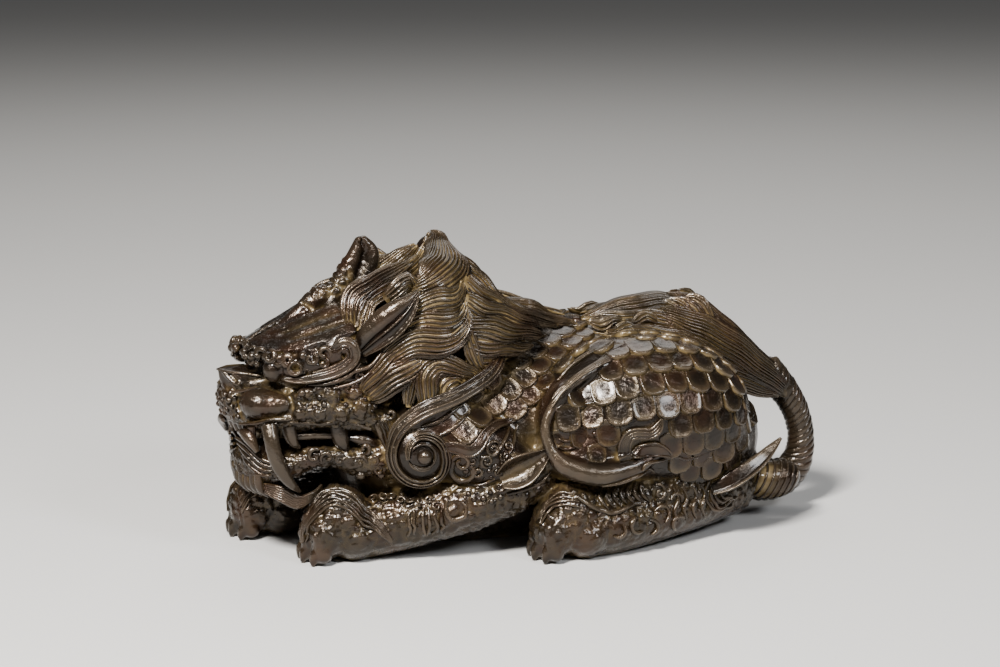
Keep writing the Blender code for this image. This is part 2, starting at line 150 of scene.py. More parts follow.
def limb(clay, *stations):
    # round and tapering, through stations (x, y, z, radius), as a chain of rings with ball ends
    path = smoothPath(stations, max(8, round(pathLength(stations) * 1.2)))
    around = 20
    shape = bmesh.new()
    rings = []
    across = None
    for index, (x, y, z, radius) in enumerate(path):
        before = path[max(index - 1, 0)][:3]
        after = path[min(index + 1, len(path) - 1)][:3]
        along = Vector(after - before).normalized()
        if across is None:
            across = along.orthogonal().normalized()
        across = (across - along * across.dot(along)).normalized()
        up = along.cross(across)
        ring = []
        for turn in range(around):
            angle = 2 * math.pi * turn / around
            offset = across * math.cos(angle) + up * math.sin(angle)
            ring.append(shape.verts.new(Vector((x, y, z)) + offset * radius))
        rings.append(ring)
    skinRings(shape, rings)
    pour(clay, shape)
    for x, y, z, radius in (stations[0], stations[-1]):
        blob(clay, (x, y, z), (radius, radius, radius))


def meshArrays(mesh):
    coords = np.empty(len(mesh.vertices) * 3, np.float32)
    mesh.vertices.foreach_get("co", coords)
    normals = np.empty(len(mesh.vertices) * 3, np.float32)
    mesh.vertex_normals.foreach_get("vector", normals)
    return coords.reshape(-1, 3).astype(float), normals.reshape(-1, 3).astype(float)


def setCoords(mesh, coords):
    mesh.vertices.foreach_set("co", np.ascontiguousarray(coords, np.float32).reshape(-1))
    mesh.update()


def addSkin(piece, voxel):
    skin = piece.modifiers.new("skin", "REMESH")
    skin.mode = "VOXEL"
    skin.voxel_size = voxel


def fuse(name, clay, voxel, smoothing, keepFloor=True):
    # the overlapping forms become one closed skin, softened at its joins and flat on the ground
    bmesh.ops.recalc_face_normals(clay, faces=clay.faces)
    piece = placed(name, meshOf(name, clay))
    addSkin(piece, voxel)
    soften = piece.modifiers.new("soften", "SMOOTH")
    soften.factor = 0.5
    soften.iterations = smoothing
    made = takeMesh(piece, name)
    if keepFloor:
        coords, _ = meshArrays(made)
        coords[:, 2] = np.maximum(coords[:, 2], 0.0)
        setCoords(made, coords)
    return made


def takeMesh(piece, name):
    # the evaluated object's plain mesh; the object itself goes
    graph = bpy.context.evaluated_depsgraph_get()
    made = bpy.data.meshes.new_from_object(piece.evaluated_get(graph))
    made.name = name
    old = piece.data
    bpy.data.objects.remove(piece)
    bpy.data.meshes.remove(old)
    return made


def surfaceOf(*meshes):
    # the meshes as one surface that paths can be laid on
    points = []
    faces = []
    for mesh in meshes:
        start = len(points)
        coords, _ = meshArrays(mesh)
        points.extend(map(tuple, coords))
        mesh.calc_loop_triangles()
        corners = np.empty(len(mesh.loop_triangles) * 3, np.int32)
        mesh.loop_triangles.foreach_get("vertices", corners)
        faces.extend(map(tuple, corners.reshape(-1, 3) + start))
    return BVHTree.FromPolygons(points, faces)


# node trees

def newTree(name, sockets):
    tree = bpy.data.node_groups.new(name, "GeometryNodeTree")
    tree.interface.new_socket("Geometry", in_out="INPUT", socket_type="NodeSocketGeometry")
    for label, kind, value in sockets:
        socket = tree.interface.new_socket(label, in_out="INPUT", socket_type="NodeSocket" + kind)
        if value is not None:
            socket.default_value = value
    tree.interface.new_socket("Geometry", in_out="OUTPUT", socket_type="NodeSocketGeometry")
    return tree


def put(tree, kind, inputs=None, **settings):
    # a node with its settings; each input is a value or the socket that feeds it
    node = tree.nodes.new(kind)
    for key, value in settings.items():
        setattr(node, key, value)
    for key, value in (inputs or {}).items():
        socket = node.inputs[key]
        if isinstance(value, bpy.types.NodeSocket):
            tree.links.new(value, socket)
        else:
            socket.default_value = value
    return node


def sums(tree, operation, *values):
    node = tree.nodes.new("ShaderNodeMath")
    node.operation = operation
    for index, value in enumerate(values):
        if isinstance(value, bpy.types.NodeSocket):
            tree.links.new(value, node.inputs[index])
        else:
            node.inputs[index].default_value = value
    return node.outputs[0]


def named(tree, name, kind="FLOAT"):
    node = put(tree, "GeometryNodeInputNamedAttribute", {"Name": name}, data_type=kind)
    return node.outputs["Attribute"]


def store(tree, geometry, name, value):
    node = put(
        tree,
        "GeometryNodeStoreNamedAttribute",
        {"Geometry": geometry, "Name": name, "Value": value},
        data_type="FLOAT",
        domain="POINT",
    )
    return node.outputs["Geometry"]


def finishTree(tree, geometry, finish):
    solid = put(tree, "GeometryNodeRealizeInstances", {"Geometry": geometry})
    smooth = put(tree, "GeometryNodeSetShadeSmooth", {"Geometry": solid.outputs[0]})
    coat = put(tree, "GeometryNodeSetMaterial", {"Geometry": smooth.outputs[0], "Material": finish})
    put(tree, "NodeGroupOutput", {"Geometry": coat.outputs[0]})


grooves = {
    "wanderRate": 0.33,  # radians of the strands' drift for a millimetre of rail
    "clumps": 0.36,  # coarse grooves for each fine one
    "clumpShift": 1.7,
    "finePower": 0.7,  # below 1 makes the crests broad and the grooves narrow
    "clumpPower": 0.6,
    "fineShare": 0.58,
    "clumpShare": 0.42,
    "depthOverWidth": 0.55,
    "footPower": 0.7,
}


def buildLockTree():
    # a section swept along each rail; strands cut long grooves in it that wander a little
    tree = newTree(
        "lockTree",
        [
            ("Points Around", "Int", 24), ("Thickness", "Float", 0.5), ("Groove Depth", "Float", 0.2),
            ("Wander", "Float", 0.5), ("Edge Dust", "Float", 0.0), ("Finish", "Material", None),
        ],
    )
    given = put(tree, "NodeGroupInput").outputs
    rail = put(tree, "GeometryNodeMeshToCurve", {"Mesh": given["Geometry"]})
    turned = put(
        tree,
        "GeometryNodeSetCurveNormal",
        {"Curve": rail.outputs[0], "Normal": named(tree, "outward", "FLOAT_VECTOR")},
        mode="FREE",
    )
    parameter = put(tree, "GeometryNodeSplineParameter").outputs
    path = store(tree, turned.outputs[0], "along", parameter["Length"])
    circle = put(
        tree, "GeometryNodeCurvePrimitiveCircle", {"Resolution": given["Points Around"], "Radius": 1.0}
    )
    flatness = put(tree, "ShaderNodeCombineXYZ", {"X": given["Thickness"], "Y": 1.0, "Z": 1.0})
    section = put(
        tree,
        "GeometryNodeTransform",
        {"Geometry": circle.outputs["Curve"], "Scale": flatness.outputs[0]},
    )
    profile = store(tree, section.outputs[0], "around", parameter["Factor"])
    swept = put(
        tree,
        "GeometryNodeCurveToMesh",
        {"Curve": path, "Profile Curve": profile, "Scale": named(tree, "halfWidth"), "Fill Caps": True},
    ).outputs[0]
    phase = named(tree, "phase")
    drift = sums(tree, "MULTIPLY_ADD", named(tree, "along"), grooves["wanderRate"], phase)
    drift = sums(tree, "SINE", drift)
    shift = sums(tree, "MULTIPLY_ADD", drift, given["Wander"], phase)
    halfTurns = sums(tree, "MULTIPLY", named(tree, "around"), math.pi)
    strands = named(tree, "strands")
    fine = sums(tree, "MULTIPLY_ADD", halfTurns, strands, shift)
    clumps = sums(tree, "ROUND", sums(tree, "MULTIPLY", strands, grooves["clumps"]))
    coarse = sums(tree, "MULTIPLY", shift, grooves["clumpShift"])
    coarse = sums(tree, "MULTIPLY_ADD", halfTurns, clumps, coarse)
    fineRidge, coarseRidge = (
        sums(tree, "POWER", sums(tree, "ABSOLUTE", sums(tree, "SINE", angle)), power)
        for angle, power in ((fine, grooves["finePower"]), (coarse, grooves["clumpPower"]))
    )
    ridge = sums(tree, "MULTIPLY", coarseRidge, grooves["clumpShare"])
    ridge = sums(tree, "MULTIPLY_ADD", fineRidge, grooves["fineShare"], ridge)
    hollow = sums(tree, "SUBTRACT", 1.0, ridge)
    room = sums(tree, "MULTIPLY", named(tree, "halfWidth"), grooves["depthOverWidth"])
    room = sums(tree, "MINIMUM", room, 1.0)
    depth = sums(tree, "MULTIPLY", sums(tree, "MULTIPLY", hollow, given["Groove Depth"]), room)
    facing = put(tree, "GeometryNodeInputNormal").outputs[0]
    sunk = {0: facing, "Scale": sums(tree, "MULTIPLY", depth, -1.0)}
    inward = put(tree, "ShaderNodeVectorMath", sunk, operation="SCALE")
    cut = put(tree, "GeometryNodeSetPosition", {"Geometry": swept, "Offset": inward.outputs[0]})
    # a plain strand lies in dust at its foot and is clean on its crest
    turnAngle = sums(tree, "MULTIPLY", named(tree, "around"), 2 * math.pi)
    foot = sums(tree, "MULTIPLY_ADD", sums(tree, "COSINE", turnAngle), -0.5, 0.5)
    foot = sums(tree, "POWER", foot, grooves["footPower"])
    beside = sums(tree, "MULTIPLY", foot, given["Edge Dust"])
    dusty = sums(tree, "MAXIMUM", sums(tree, "MULTIPLY", hollow, given["Groove Depth"]), beside)
    finishTree(tree, store(tree, cut.outputs[0], "hollow", dusty), given["Finish"])
    return tree


def buildScatterTree():
    # one shape on each point, standing along "up" with its front towards "tip", sized by "size"
    tree = newTree("scatterTree", [("Shape", "Object", None), ("Finish", "Material", None)])
    given = put(tree, "NodeGroupInput").outputs
    shape = put(tree, "GeometryNodeObjectInfo", {"Object": given["Shape"]})
    points = put(tree, "GeometryNodeMeshToPoints", {"Mesh": given["Geometry"]})
    turn = put(
        tree,
        "FunctionNodeAxesToRotation",
        {
            "Primary Axis": named(tree, "up", "FLOAT_VECTOR"),
            "Secondary Axis": named(tree, "tip", "FLOAT_VECTOR"),
        },
        primary_axis="Z",
        secondary_axis="X",
    )
    spread = put(
        tree,
        "GeometryNodeInstanceOnPoints",
        {
            "Points": points.outputs[0],
            "Instance": shape.outputs["Geometry"],
            "Rotation": turn.outputs[0],
            "Scale": named(tree, "size", "FLOAT_VECTOR"),
        },
    )
    finishTree(tree, spread.outputs[0], given["Finish"])
    return tree


def runTree(name, mesh, tree, values):
    piece = placed(name, mesh)
    modifier = piece.modifiers.new(tree.name, "NODES")
    modifier.node_group = tree
    for socket in tree.interface.items_tree:
        if socket.in_out == "INPUT" and socket.name in values:
            modifier[socket.identifier] = values[socket.name]
    return takeMesh(piece, name)


def addValues(mesh, name, kind, values):
    field = "vector" if kind == "FLOAT_VECTOR" else "value"
    attribute = mesh.attributes.new(name, kind, "POINT")
    attribute.data.foreach_set(field, np.ascontiguousarray(values, np.float32).reshape(-1))


def unit(vectors):
    return vectors / np.maximum(np.linalg.norm(vectors, axis=-1, keepdims=True), 1e-9)


# A rail is the path of one lock, ridge or strand: its points, which way is out, and its half width.

def railOf(points, halfWidth, outward, strands=0, phase=0.0):
    return {
        "points": points, "halfWidth": halfWidth, "outward": outward, "strands": strands, "phase": phase,
    }


def rail(stations, outward, strands=0, phase=0.0, step=0.6):
    path = smoothPath(stations, max(6, round(pathLength(stations) / step)))
    out = np.broadcast_to(np.array(outward, float), (len(path), 3))
    return railOf(path[:, :3], np.maximum(path[:, 3], 0.05), out, strands, phase)


def laid(stations, surface, lift):
    # a rail on the nearest skin, lifted off it by lift
    given = rail(stations, (0, 0, 1), step=0.5)
    places = []
    normals = []
    for point in given["points"]:
        place, normal, _, _ = surface.find_nearest(Vector(point))
        places.append(place)
        normals.append(normal)
    normals = np.array(normals)
    for _ in range(3):
        normals[1:-1] = (normals[:-2] + normals[1:-1] + normals[2:]) / 3
    given["outward"] = unit(normals)
    points = np.array(places) + given["outward"] * lift
    for _ in range(2):
        points[1:-1] = (points[:-2] + 2 * points[1:-1] + points[2:]) / 4
    given["points"] = points
    return given


def lowered(stations, down):
    # a fold further down than the one before: x, y and its share of down, z and its share, half width
    return [(x, y - dy * down, z - dz * down, half) for x, y, dy, z, dz, half in stations]


def rimmed(band, size):
    # two thin rims on the edges of a band
    along = unit(np.gradient(band["points"], axis=0))
    across = np.cross(along, band["outward"])
    rims = []
    for sign in (-1.0, 1.0):
        shift = across * (sign * 0.86 * band["halfWidth"])[:, None] + band["outward"] * 0.2
        half = np.minimum(size, 0.5 * band["halfWidth"])
        rims.append({**band, "points": band["points"] + shift, "halfWidth": half})
    return rims


def snail(centre, radius, outward, halfWidth, turns, start, inner, rise, hand=1.0):
    # a flat spiral curl that winds in to its centre, facing outward; start is where it begins, in turns
    out = unit(np.array(outward, float))
    zenith = np.array((0.0, 0.0, 1.0))
    upward = unit(zenith - out * np.dot(out, zenith))
    across = np.cross(upward, out)
    count = max(10, round(turns * 14))
    t = np.linspace(0.0, 1.0, count)
    angle = 2 * math.pi * (start + hand * turns * t)
    reach = radius * (1 - (1 - inner) * t)
    points = (
        np.array(centre, float)
        + reach[:, None] * (np.cos(angle)[:, None] * across + np.sin(angle)[:, None] * upward)
        + out * (rise * t)[:, None]
    )
    half = halfWidth * (1.0 - 0.35 * t) * np.minimum(1.0, 0.45 + 4 * t)
    return railOf(points, half, np.broadcast_to(out, points.shape))


def railAxes(given):
    # along the rail, out of it and across it, at each point
    along = unit(np.gradient(given["points"], axis=0))
    out = unit(given["outward"] - along * (given["outward"] * along).sum(axis=1, keepdims=True))
    return along, out, np.cross(along, out)


def sweep(name, rails, around, thickness, depth=0.0, wander=0.0, edgeDust=0.0):
    # every rail as one mesh of edges, swept by the lock tree
    points = np.concatenate([r["points"] for r in rails])
    counts = [len(r["points"]) for r in rails]
    edges = []
    start = 0
    for count in counts:
        edges.extend((start + k, start + k + 1) for k in range(count - 1))
        start += count
    mesh = bpy.data.meshes.new(name)
    mesh.from_pydata([tuple(p) for p in points], edges, [])
    addValues(mesh, "outward", "FLOAT_VECTOR", np.concatenate([railAxes(r)[1] for r in rails]))
    addValues(mesh, "halfWidth", "FLOAT", np.concatenate([r["halfWidth"] for r in rails]))
    addValues(mesh, "strands", "FLOAT", np.repeat([r["strands"] for r in rails], counts))
    addValues(mesh, "phase", "FLOAT", np.repeat([r["phase"] for r in rails], counts))
    values = {
        "Points Around": around, "Thickness": thickness, "Groove Depth": depth, "Wander": wander,
        "Edge Dust": edgeDust, "Finish": bronze,
    }
    return runTree(name, mesh, lockTree, values)


def sectionOn(side, section):
    return section if side == left else [(-across, height) for across, height in reversed(section)]


def leaf(name, stations, outward, section, thickness):
    # a carved leaf along the stations, closed behind; its section is (across, height) in half widths
    path = rail(stations, outward, step=0.45)
    points, width = path["points"], path["halfWidth"][:, None, None]
    _, out, across = railAxes(path)
    profile = smoothPath(section, 4 * len(section))
    count = len(profile)
    spread = across[:, None, :] * profile[None, :, 0, None] * width
    front = points[:, None, :] + spread + out[:, None, :] * profile[None, :, 1, None] * width
    sunk = profile[None, :, 1, None] * 0.5 * width - thickness
    back = points[:, None, :] + 0.9 * spread + out[:, None, :] * sunk
    rings = np.concatenate([front, back[:, ::-1]], axis=1)
    shape = bmesh.new()
    skinRings(shape, [[shape.verts.new(point) for point in ring] for ring in rings])
    bmesh.ops.recalc_face_normals(shape, faces=shape.faces)
    mesh = meshOf(name, shape)
    low = 0.5 * np.clip((0.1 - profile[:, 1]) * 2.0, 0, 1)
    addValues(mesh, "hollow", "FLOAT", np.tile(np.concatenate([low, np.ones(count)]), len(points)))
    return mesh


def scatter(name, shape, places, ups, tips, sizes):
    mesh = bpy.data.meshes.new(name)
    mesh.from_pydata([tuple(p) for p in places], [], [])
    addValues(mesh, "up", "FLOAT_VECTOR", ups)
    addValues(mesh, "tip", "FLOAT_VECTOR", tips)
    addValues(mesh, "size", "FLOAT_VECTOR", sizes)
    return runTree(name, mesh, scatterTree, {"Shape": shape, "Finish": bronze})


def shapeObject(name, outline, rings, centreHeight):
    # a low closed button: rings of (radius, height) from its middle outwards, each as wide as the outline
    shape = bmesh.new()
    around = len(outline)
    loops = []
    for radius, height in rings:
        loops.append([shape.verts.new((x * radius, y * radius, height)) for x, y in outline])
    top = shape.verts.new((0, 0, centreHeight))
    for turn in range(around):
        following = (turn + 1) % around
        shape.faces.new((top, loops[0][turn], loops[0][following]))
        for inner, outer in zip(loops, loops[1:]):
            shape.faces.new((inner[turn], outer[turn], outer[following], inner[following]))
    shape.faces.new(list(reversed(loops[-1])))
    bmesh.ops.recalc_face_normals(shape, faces=shape.faces)
    return placed(name, meshOf(name, shape))


def circle(around):
    angles = [2 * math.pi * turn / around for turn in range(around)]
    return [(math.cos(angle), math.sin(angle)) for angle in angles]


def joinMeshes(name, *meshes):
    joined = bmesh.new()
    for mesh in meshes:
        joined.from_mesh(mesh)
        bpy.data.meshes.remove(mesh)
    return meshOf(name, joined)


# relief pressed into a skin

def stroke(coords, normals, hollow, stations, height):
    # raises or cuts a line along the stations (x, y, z, half width); a cut is marked as hollow
    path = smoothPath(stations, max(6, round(pathLength(stations) / 0.5)))
    reach = float(path[:, 3].max()) * 2.2 + 0.5
    low = path[:, :3].min(axis=0) - reach
    high = path[:, :3].max(axis=0) + reach
    near = np.nonzero(np.all((coords > low) & (coords < high), axis=1))[0]
    if len(near) == 0:
        return
    best = np.full(len(near), 1e9)
    width = np.ones(len(near))
    for a, b in zip(path, path[1:]):
        along = b[:3] - a[:3]
        t = np.clip(((coords[near] - a[:3]) @ along) / max(along @ along, 1e-9), 0, 1)
        gap = np.linalg.norm(coords[near] - (a[:3] + t[:, None] * along), axis=1)
        closer = gap < best
        best[closer] = gap[closer]
        width[closer] = (a[3] + (b[3] - a[3]) * t)[closer]
    lift = np.exp(-((best / width) ** 2))
    coords[near] += normals[near] * (height * lift)[:, None]
    if height < 0:
        hollow[near] = np.maximum(hollow[near], lift * min(1.0, -height / 0.8))


def cells(coords, size, seed):
    # nearest and second nearest distance to jittered points, one a cell, in cell units
    grid = coords / size
    base = np.floor(grid).astype(np.int64)
    first = np.full(len(coords), 9.0)
    second = np.full(len(coords), 9.0)
    for dx in (-1, 0, 1):
        for dy in (-1, 0, 1):
            for dz in (-1, 0, 1):
                cell = base + (dx, dy, dz)
                key = (cell[:, 0] * 73856093) ^ (cell[:, 1] * 19349663) ^ (cell[:, 2] * 83492791) ^ seed
                jitter = np.stack(
                    [((key * k) % 9973) / 9973.0 for k in (7919, 104729, 15485863)], axis=1
                )
                gap = np.linalg.norm(cell + 0.15 + 0.7 * jitter - grid, axis=1)
                second = np.where(gap < first, first, np.minimum(second, gap))
                first = np.minimum(first, gap)
    return first, second


def pebbles(coords, size, seed):
    # 0 between the pebbles to 1 on top of them
    first, second = cells(coords, size, seed)
    return np.clip((second - first) * 2.2, 0, 1) ** 0.6


def fade(value, start, end):
    t = np.clip((value - start) / (end - start), 0, 1)
    return t * t * (3 - 2 * t)


# the bronze

bronzeLook = {
    "hollowsColour": (0.19, 0.132, 0.052),  # ochre dust that stays in the grooves; on the bulb at the tail's foot the same colour is painted light
    "skinColour": (0.0105, 0.0070, 0.0044),
    "redColour": (0.030, 0.0135, 0.0068),
    # painted highlight: a lighter colour laid on open, raised places
    "paintedHighlightColour": (0.115, 0.086, 0.056),
    "grainScale": 1100.0,
    "tintScale": 130.0,
    "lumpScale": 560.0,
    "pits": (0.35, 0.0003),  # strength and depth in metres, as for the lumps
    "lumps": (0.42, 0.0008),
    "rough": 0.13,  # of clean skin; grain and dust add to it
    "grainRough": 0.2,
    "dustRough": 0.42,
    "mostRough": 0.9,
    "metal": 0.6,
    "dustMetal": -0.6,
    "specular": 0.35,
    "coat": 0.28,
    "coatRough": 0.1,
}


def buildBronze():
    material = bpy.data.materials.new("bronze")
    material.use_nodes = True
    tree = material.node_tree
    shader = tree.nodes["Principled BSDF"]
    place = put(tree, "ShaderNodeTexCoord").outputs["Object"]
    dust = put(tree, "ShaderNodeAttribute", attribute_name="dust").outputs["Fac"]
    crest = put(tree, "ShaderNodeAttribute", attribute_name="crest").outputs["Fac"]

    def noise(scale, detail, roughness=0.55):
        given = {"Vector": place, "Scale": scale, "Detail": detail, "Roughness": roughness}
        return put(tree, "ShaderNodeTexNoise", given).outputs["Fac"]

    def span(value, low, high, start=0.0, end=1.0):
        given = {"Value": value, "From Min": low, "From Max": high, "To Min": start, "To Max": end}
        return put(tree, "ShaderNodeMapRange", given).outputs[0]

    def mix(factor, first, second):
        node = put(tree, "ShaderNodeMix", data_type="RGBA")
        for index, value in ((0, factor), (6, first), (7, second)):
            socket = node.inputs[index]
            if isinstance(value, bpy.types.NodeSocket):
                tree.links.new(value, socket)
            elif index == 0:
                socket.default_value = value
            else:
                socket.default_value = (*value, 1.0)
        return node.outputs[2]

    tint = span(noise(bronzeLook["tintScale"], 4.0), 0.45, 0.68)
    patches = span(noise(bronzeLook["tintScale"] * 3.1, 3.0), 0.38, 0.62)
    grain = noise(bronzeLook["grainScale"], 6.0, 0.65)
    colour = mix(sums(tree, "MULTIPLY", tint, 0.75), bronzeLook["skinColour"], bronzeLook["redColour"])
    # painted highlight: open, raised places are made lighter
    colour = mix(sums(tree, "MULTIPLY", crest, 0.5), colour, bronzeLook["paintedHighlightColour"])
    # dust in the hollows; on the tail's bulb the same colour is a painted pool of light
    dustAndPaintedLight = sums(tree, "MULTIPLY", dust, span(patches, 0.0, 1.0, 0.55, 1.0))
    colour = mix(dustAndPaintedLight, colour, bronzeLook["hollowsColour"])
    tree.links.new(colour, shader.inputs["Base Color"])
    gloss = sums(tree, "MULTIPLY_ADD", grain, bronzeLook["grainRough"], bronzeLook["rough"])
    rough = sums(tree, "MULTIPLY_ADD", dustAndPaintedLight, bronzeLook["dustRough"], gloss)
    tree.links.new(sums(tree, "MINIMUM", rough, bronzeLook["mostRough"]), shader.inputs["Roughness"])
    metal = sums(tree, "MULTIPLY_ADD", dustAndPaintedLight, bronzeLook["dustMetal"], bronzeLook["metal"])
    tree.links.new(metal, shader.inputs["Metallic"])
    strength, depth = bronzeLook["pits"]
    pits = put(tree, "ShaderNodeBump", {"Strength": strength, "Distance": depth, "Height": grain})
    strength, depth = bronzeLook["lumps"]
    raised = {"Strength": strength, "Distance": depth, "Height": noise(bronzeLook["lumpScale"], 3.0)}
    lumps = put(tree, "ShaderNodeBump", {**raised, "Normal": pits.outputs[0]})
    tree.links.new(lumps.outputs[0], shader.inputs["Normal"])
    shader.inputs["Specular IOR Level"].default_value = bronzeLook["specular"]
    shader.inputs["Coat Weight"].default_value = bronzeLook["coat"]
    shader.inputs["Coat Roughness"].default_value = bronzeLook["coatRough"]
    return material


bronze = buildBronze()
lockTree = buildLockTree()
scatterTree = buildScatterTree()
print("bronze and trees ready")


# body: barrel, neck, shoulders and haunches
body = {"voxel": 0.56, "smoothing": 3}


def haunch(clay, side):
    blob(clay, *onSide(side, (21, -13.5, 25.5)), (23.0, 14.0, 15.8))
    blob(clay, *onSide(side, (30.5, -11, 22)), (14.6, 13.5, 15.5))
    blob(clay, *onSide(side, (10.5, -19, 20.0)), (12.0, 7.4, 7.2))
    blob(clay, *onSide(side, (4.5, -19.5, 26.0)), (5.4, 5.6, 8.5))
    rim = onSide(
        side,
        (21.5, -17, 39.6, 0.7), (11.3, -21, 37.2, 0.9), (3.2, -23, 32.6, 1.0), (-0.4, -24, 27.5, 1.05),
        (0.0, -25.0, 22.5, 1.3), (3.2, -26.2, 18.8, 2.1), (9.3, -27.0, 17.0, 2.4),
        (16, -26.8, 17.8, 2.1), (21, -26.2, 19.8, 1.1),
    )
    limb(clay, *rim)


def shoulder(clay, side, elbow):
    ex, ey, ez = elbow
    limb(clay, *onSide(side, (-19, -12, 24, 10), (-11, -16, 20, 8.2), (ex - 2, ey + 1, ez + 1.4, 4.0)))
    blob(clay, *onSide(side, (-20, -13.4, 24)), (11.0, 8.2, 11.0))
    blob(clay, *onSide(side, (-24.6, -17.6, 21.5)), (6.6, 5.8, 6.6))
    limb(clay, *onSide(side, (-28.0, -18.6, 26.0, 2.2), (-22.5, -19.0, 30.6, 2.4),
        (-15, -17.4, 33.4, 2.6), (-9, -14.6, 36.8, 2.4)))


def neck(clay):
    # what the locks of the mane lie on
    limb(clay, (-19, 0, 49, 8.5), (-17.4, 0, 54, 6.6), (-17.2, 0, 57.6, 3.6))
    limb(clay, (-13, 0, 46.2, 8.8), (-7, 0, 39.8, 8.6), (0, 0, 35.4, 8.6), (8, 0, 34, 6))
    limb(clay, (-34, 0, 46, 5.0), (-28, 0, 50.4, 4.4), (-22, 0, 53.0, 4.0))
    for side in (left, right):
        blob(clay, *onSide(side, (-19.5, -9.0, 44.5)), (7.2, 7.4, 8.6))
        blob(clay, *onSide(side, (-19.6, -8.0, 50.6)), (5.6, 5.2, 5.0))
        blob(clay, *onSide(side, (-9.6, -9.0, 42.4)), (7.0, 6.4, 6.4), pitch=-28)
        blob(clay, *onSide(side, (-26.5, -11.5, 42.0)), (6.0, 5.0, 7.0))


def buildBody():
    clay = bmesh.new()
    radius = beast["bodyRadius"]
    middle = beast["spineHeight"] - radius
    limb(
        clay,
        (-24, 0, 19, 15), (-15, 0, middle - 1, radius - 1.5), (0, 0, middle, radius - 0.6),
        (16, 0, middle, radius), (29, 0, middle - 1.5, radius - 1), (38.5, 0, 17, 13.0),
    )
    limb(clay, (-14, 0, 9, 12), (32, 0, 10, 13))
    blob(clay, (-16, 0, 37), (13.5, 14.5, 15.0))
    neck(clay)
    shoulder(clay, left, (-0.5, -20.5, 15.0))
    shoulder(clay, right, (-1.5, -20.0, 14.6))
    for side in (left, right):
        haunch(clay, side)
    limb(clay, (54, 0, 28.4, 3.3), (46, 0, 33.0, 4.6), (38, 0, 38.0, 5.4), (31, 0, 39.0, 6.0),
        (22, 0, 38.4, 5.0))
    blob(clay, (48.6, -1.0, 7.8), (6.2, 6.0, 5.2), pitch=-12)
    # the smooth bulb where the tail comes out from under the haunch
    blob(clay, (47.6, -6.0, 9.4), (4.8, 4.0, 4.6), pitch=-20)
    blob(clay, (52.4, -8.2, 8.4), (6.2, 4.0, 4.0), pitch=8)
    made = fuse("qilinBody", clay, body["voxel"], body["smoothing"])
    # the shell at the tail's foot is painted pale, a painted pool of light: it is laid as a hollow mark
    # so that it takes the dust colour
    coords, _ = meshArrays(made)
    beside = (0, 1, 0) * (np.abs(coords) - 9.5)
    gap = np.linalg.norm((coords - (52.4, 0, 8.0)) * (0.8, 0, 1.2) + beside, axis=1)
    addValues(made, "hollow", "FLOAT", 1.2 * (1 - fade(gap, 4.0, 5.6)))
    return made


bodyMesh = buildBody()
print("body:", len(bodyMesh.polygons), "faces")


# legs: forearms, hind feet and paws, with their pebbled hide
legs = {
    "voxel": 0.40,
    "smoothing": 2,
    "pebbleSize": 1.75,
    "pebbleHeight": 0.6,
    "fineHeight": 0.08,
    "lumpSize": 3.6,
    "lumpHeight": 0.5,
    "patchSize": 6.0,  # of the areas where the pebbles stand higher or lower
    "sunk": 0.65,  # how far the hide's ground lies below the clay
    "toes": (-4.7, -1.6, 1.6, 4.7),  # across the paw
    "toeRadius": 1.9,
}


def paw(clay, side, front, y):
    # a blunt boot of four upright toes; front is the x of its foremost toe
    def at(x, across, z):
        return onSide(side, (front + x, y + across, z))[0]

    blob(clay, at(8.4, 0, 7.8), (6.4, 6.6, 7.0))
    blob(clay, at(5.6, 0, 6.0), (5.0, 6.6, 5.8))
    blob(clay, at(11.0, 0, 5.0), (6.0, 7.0, 5.4))
    for across in legs["toes"]:
        back = 0.07 * across**2
        radius = legs["toeRadius"]
        limb(
            clay,
            (*at(3.6 + back, across * 0.86, 9.0), radius * 0.85),
            (*at(2.4 + back, across * 0.96, 6.8), radius),
            (*at(2.2 + back, across, 4.2), radius * 0.95),
            (*at(2.6 + back, across, 2.2), radius * 0.95),
        )
        limb(clay, (*at(1.2 + back, across, 3.2), 0.9), (*at(0.5 + back, across, 1.8), 0.85),
            (*at(0.5 + back, across, 0.5), 0.6))


def foreLeg(clay, side, elbow, front, y):
    ex, ey, ez = elbow
    limb(
        clay,
        *onSide(
            side,
            (ex, ey, ez, 2.8), (ex - 5, ey + 0.6, ez - 1.8, 4.4), (ex - 10.5, ey + 2.2, ez - 3.5, 5.4),
            (ex - 17, 0.55 * ey + 0.45 * y, 9.9, 5.8),
            (0.3 * ex + 0.7 * front + 3.6, 0.2 * ey + 0.8 * y, 6.6, 5.8),
            (front + 12.5, y, 5.6, 5.8),
        ),
    )
    paw(clay, side, front, y)


def hindFoot(clay, side):
    # the sole's long roll, and the shin folded on top of it
    limb(clay, *onSide(side, (42.5, -10, 7.4, 5.2), (34, -15, 7.0, 5.5), (23, -19.6, 6.3, 5.8),
        (13, -22.8, 5.8, 6.1), (7, -23.8, 5.8, 6.0)))
    limb(clay, *onSide(side, (41, -10.6, 10.6, 5.4), (32, -15.4, 10.6, 5.6), (22, -19.4, 10.2, 5.4),
        (13, -21.4, 9.6, 5.2), (6, -22.4, 8.8, 4.8)))
    paw(clay, side, -3.8, -23.6)


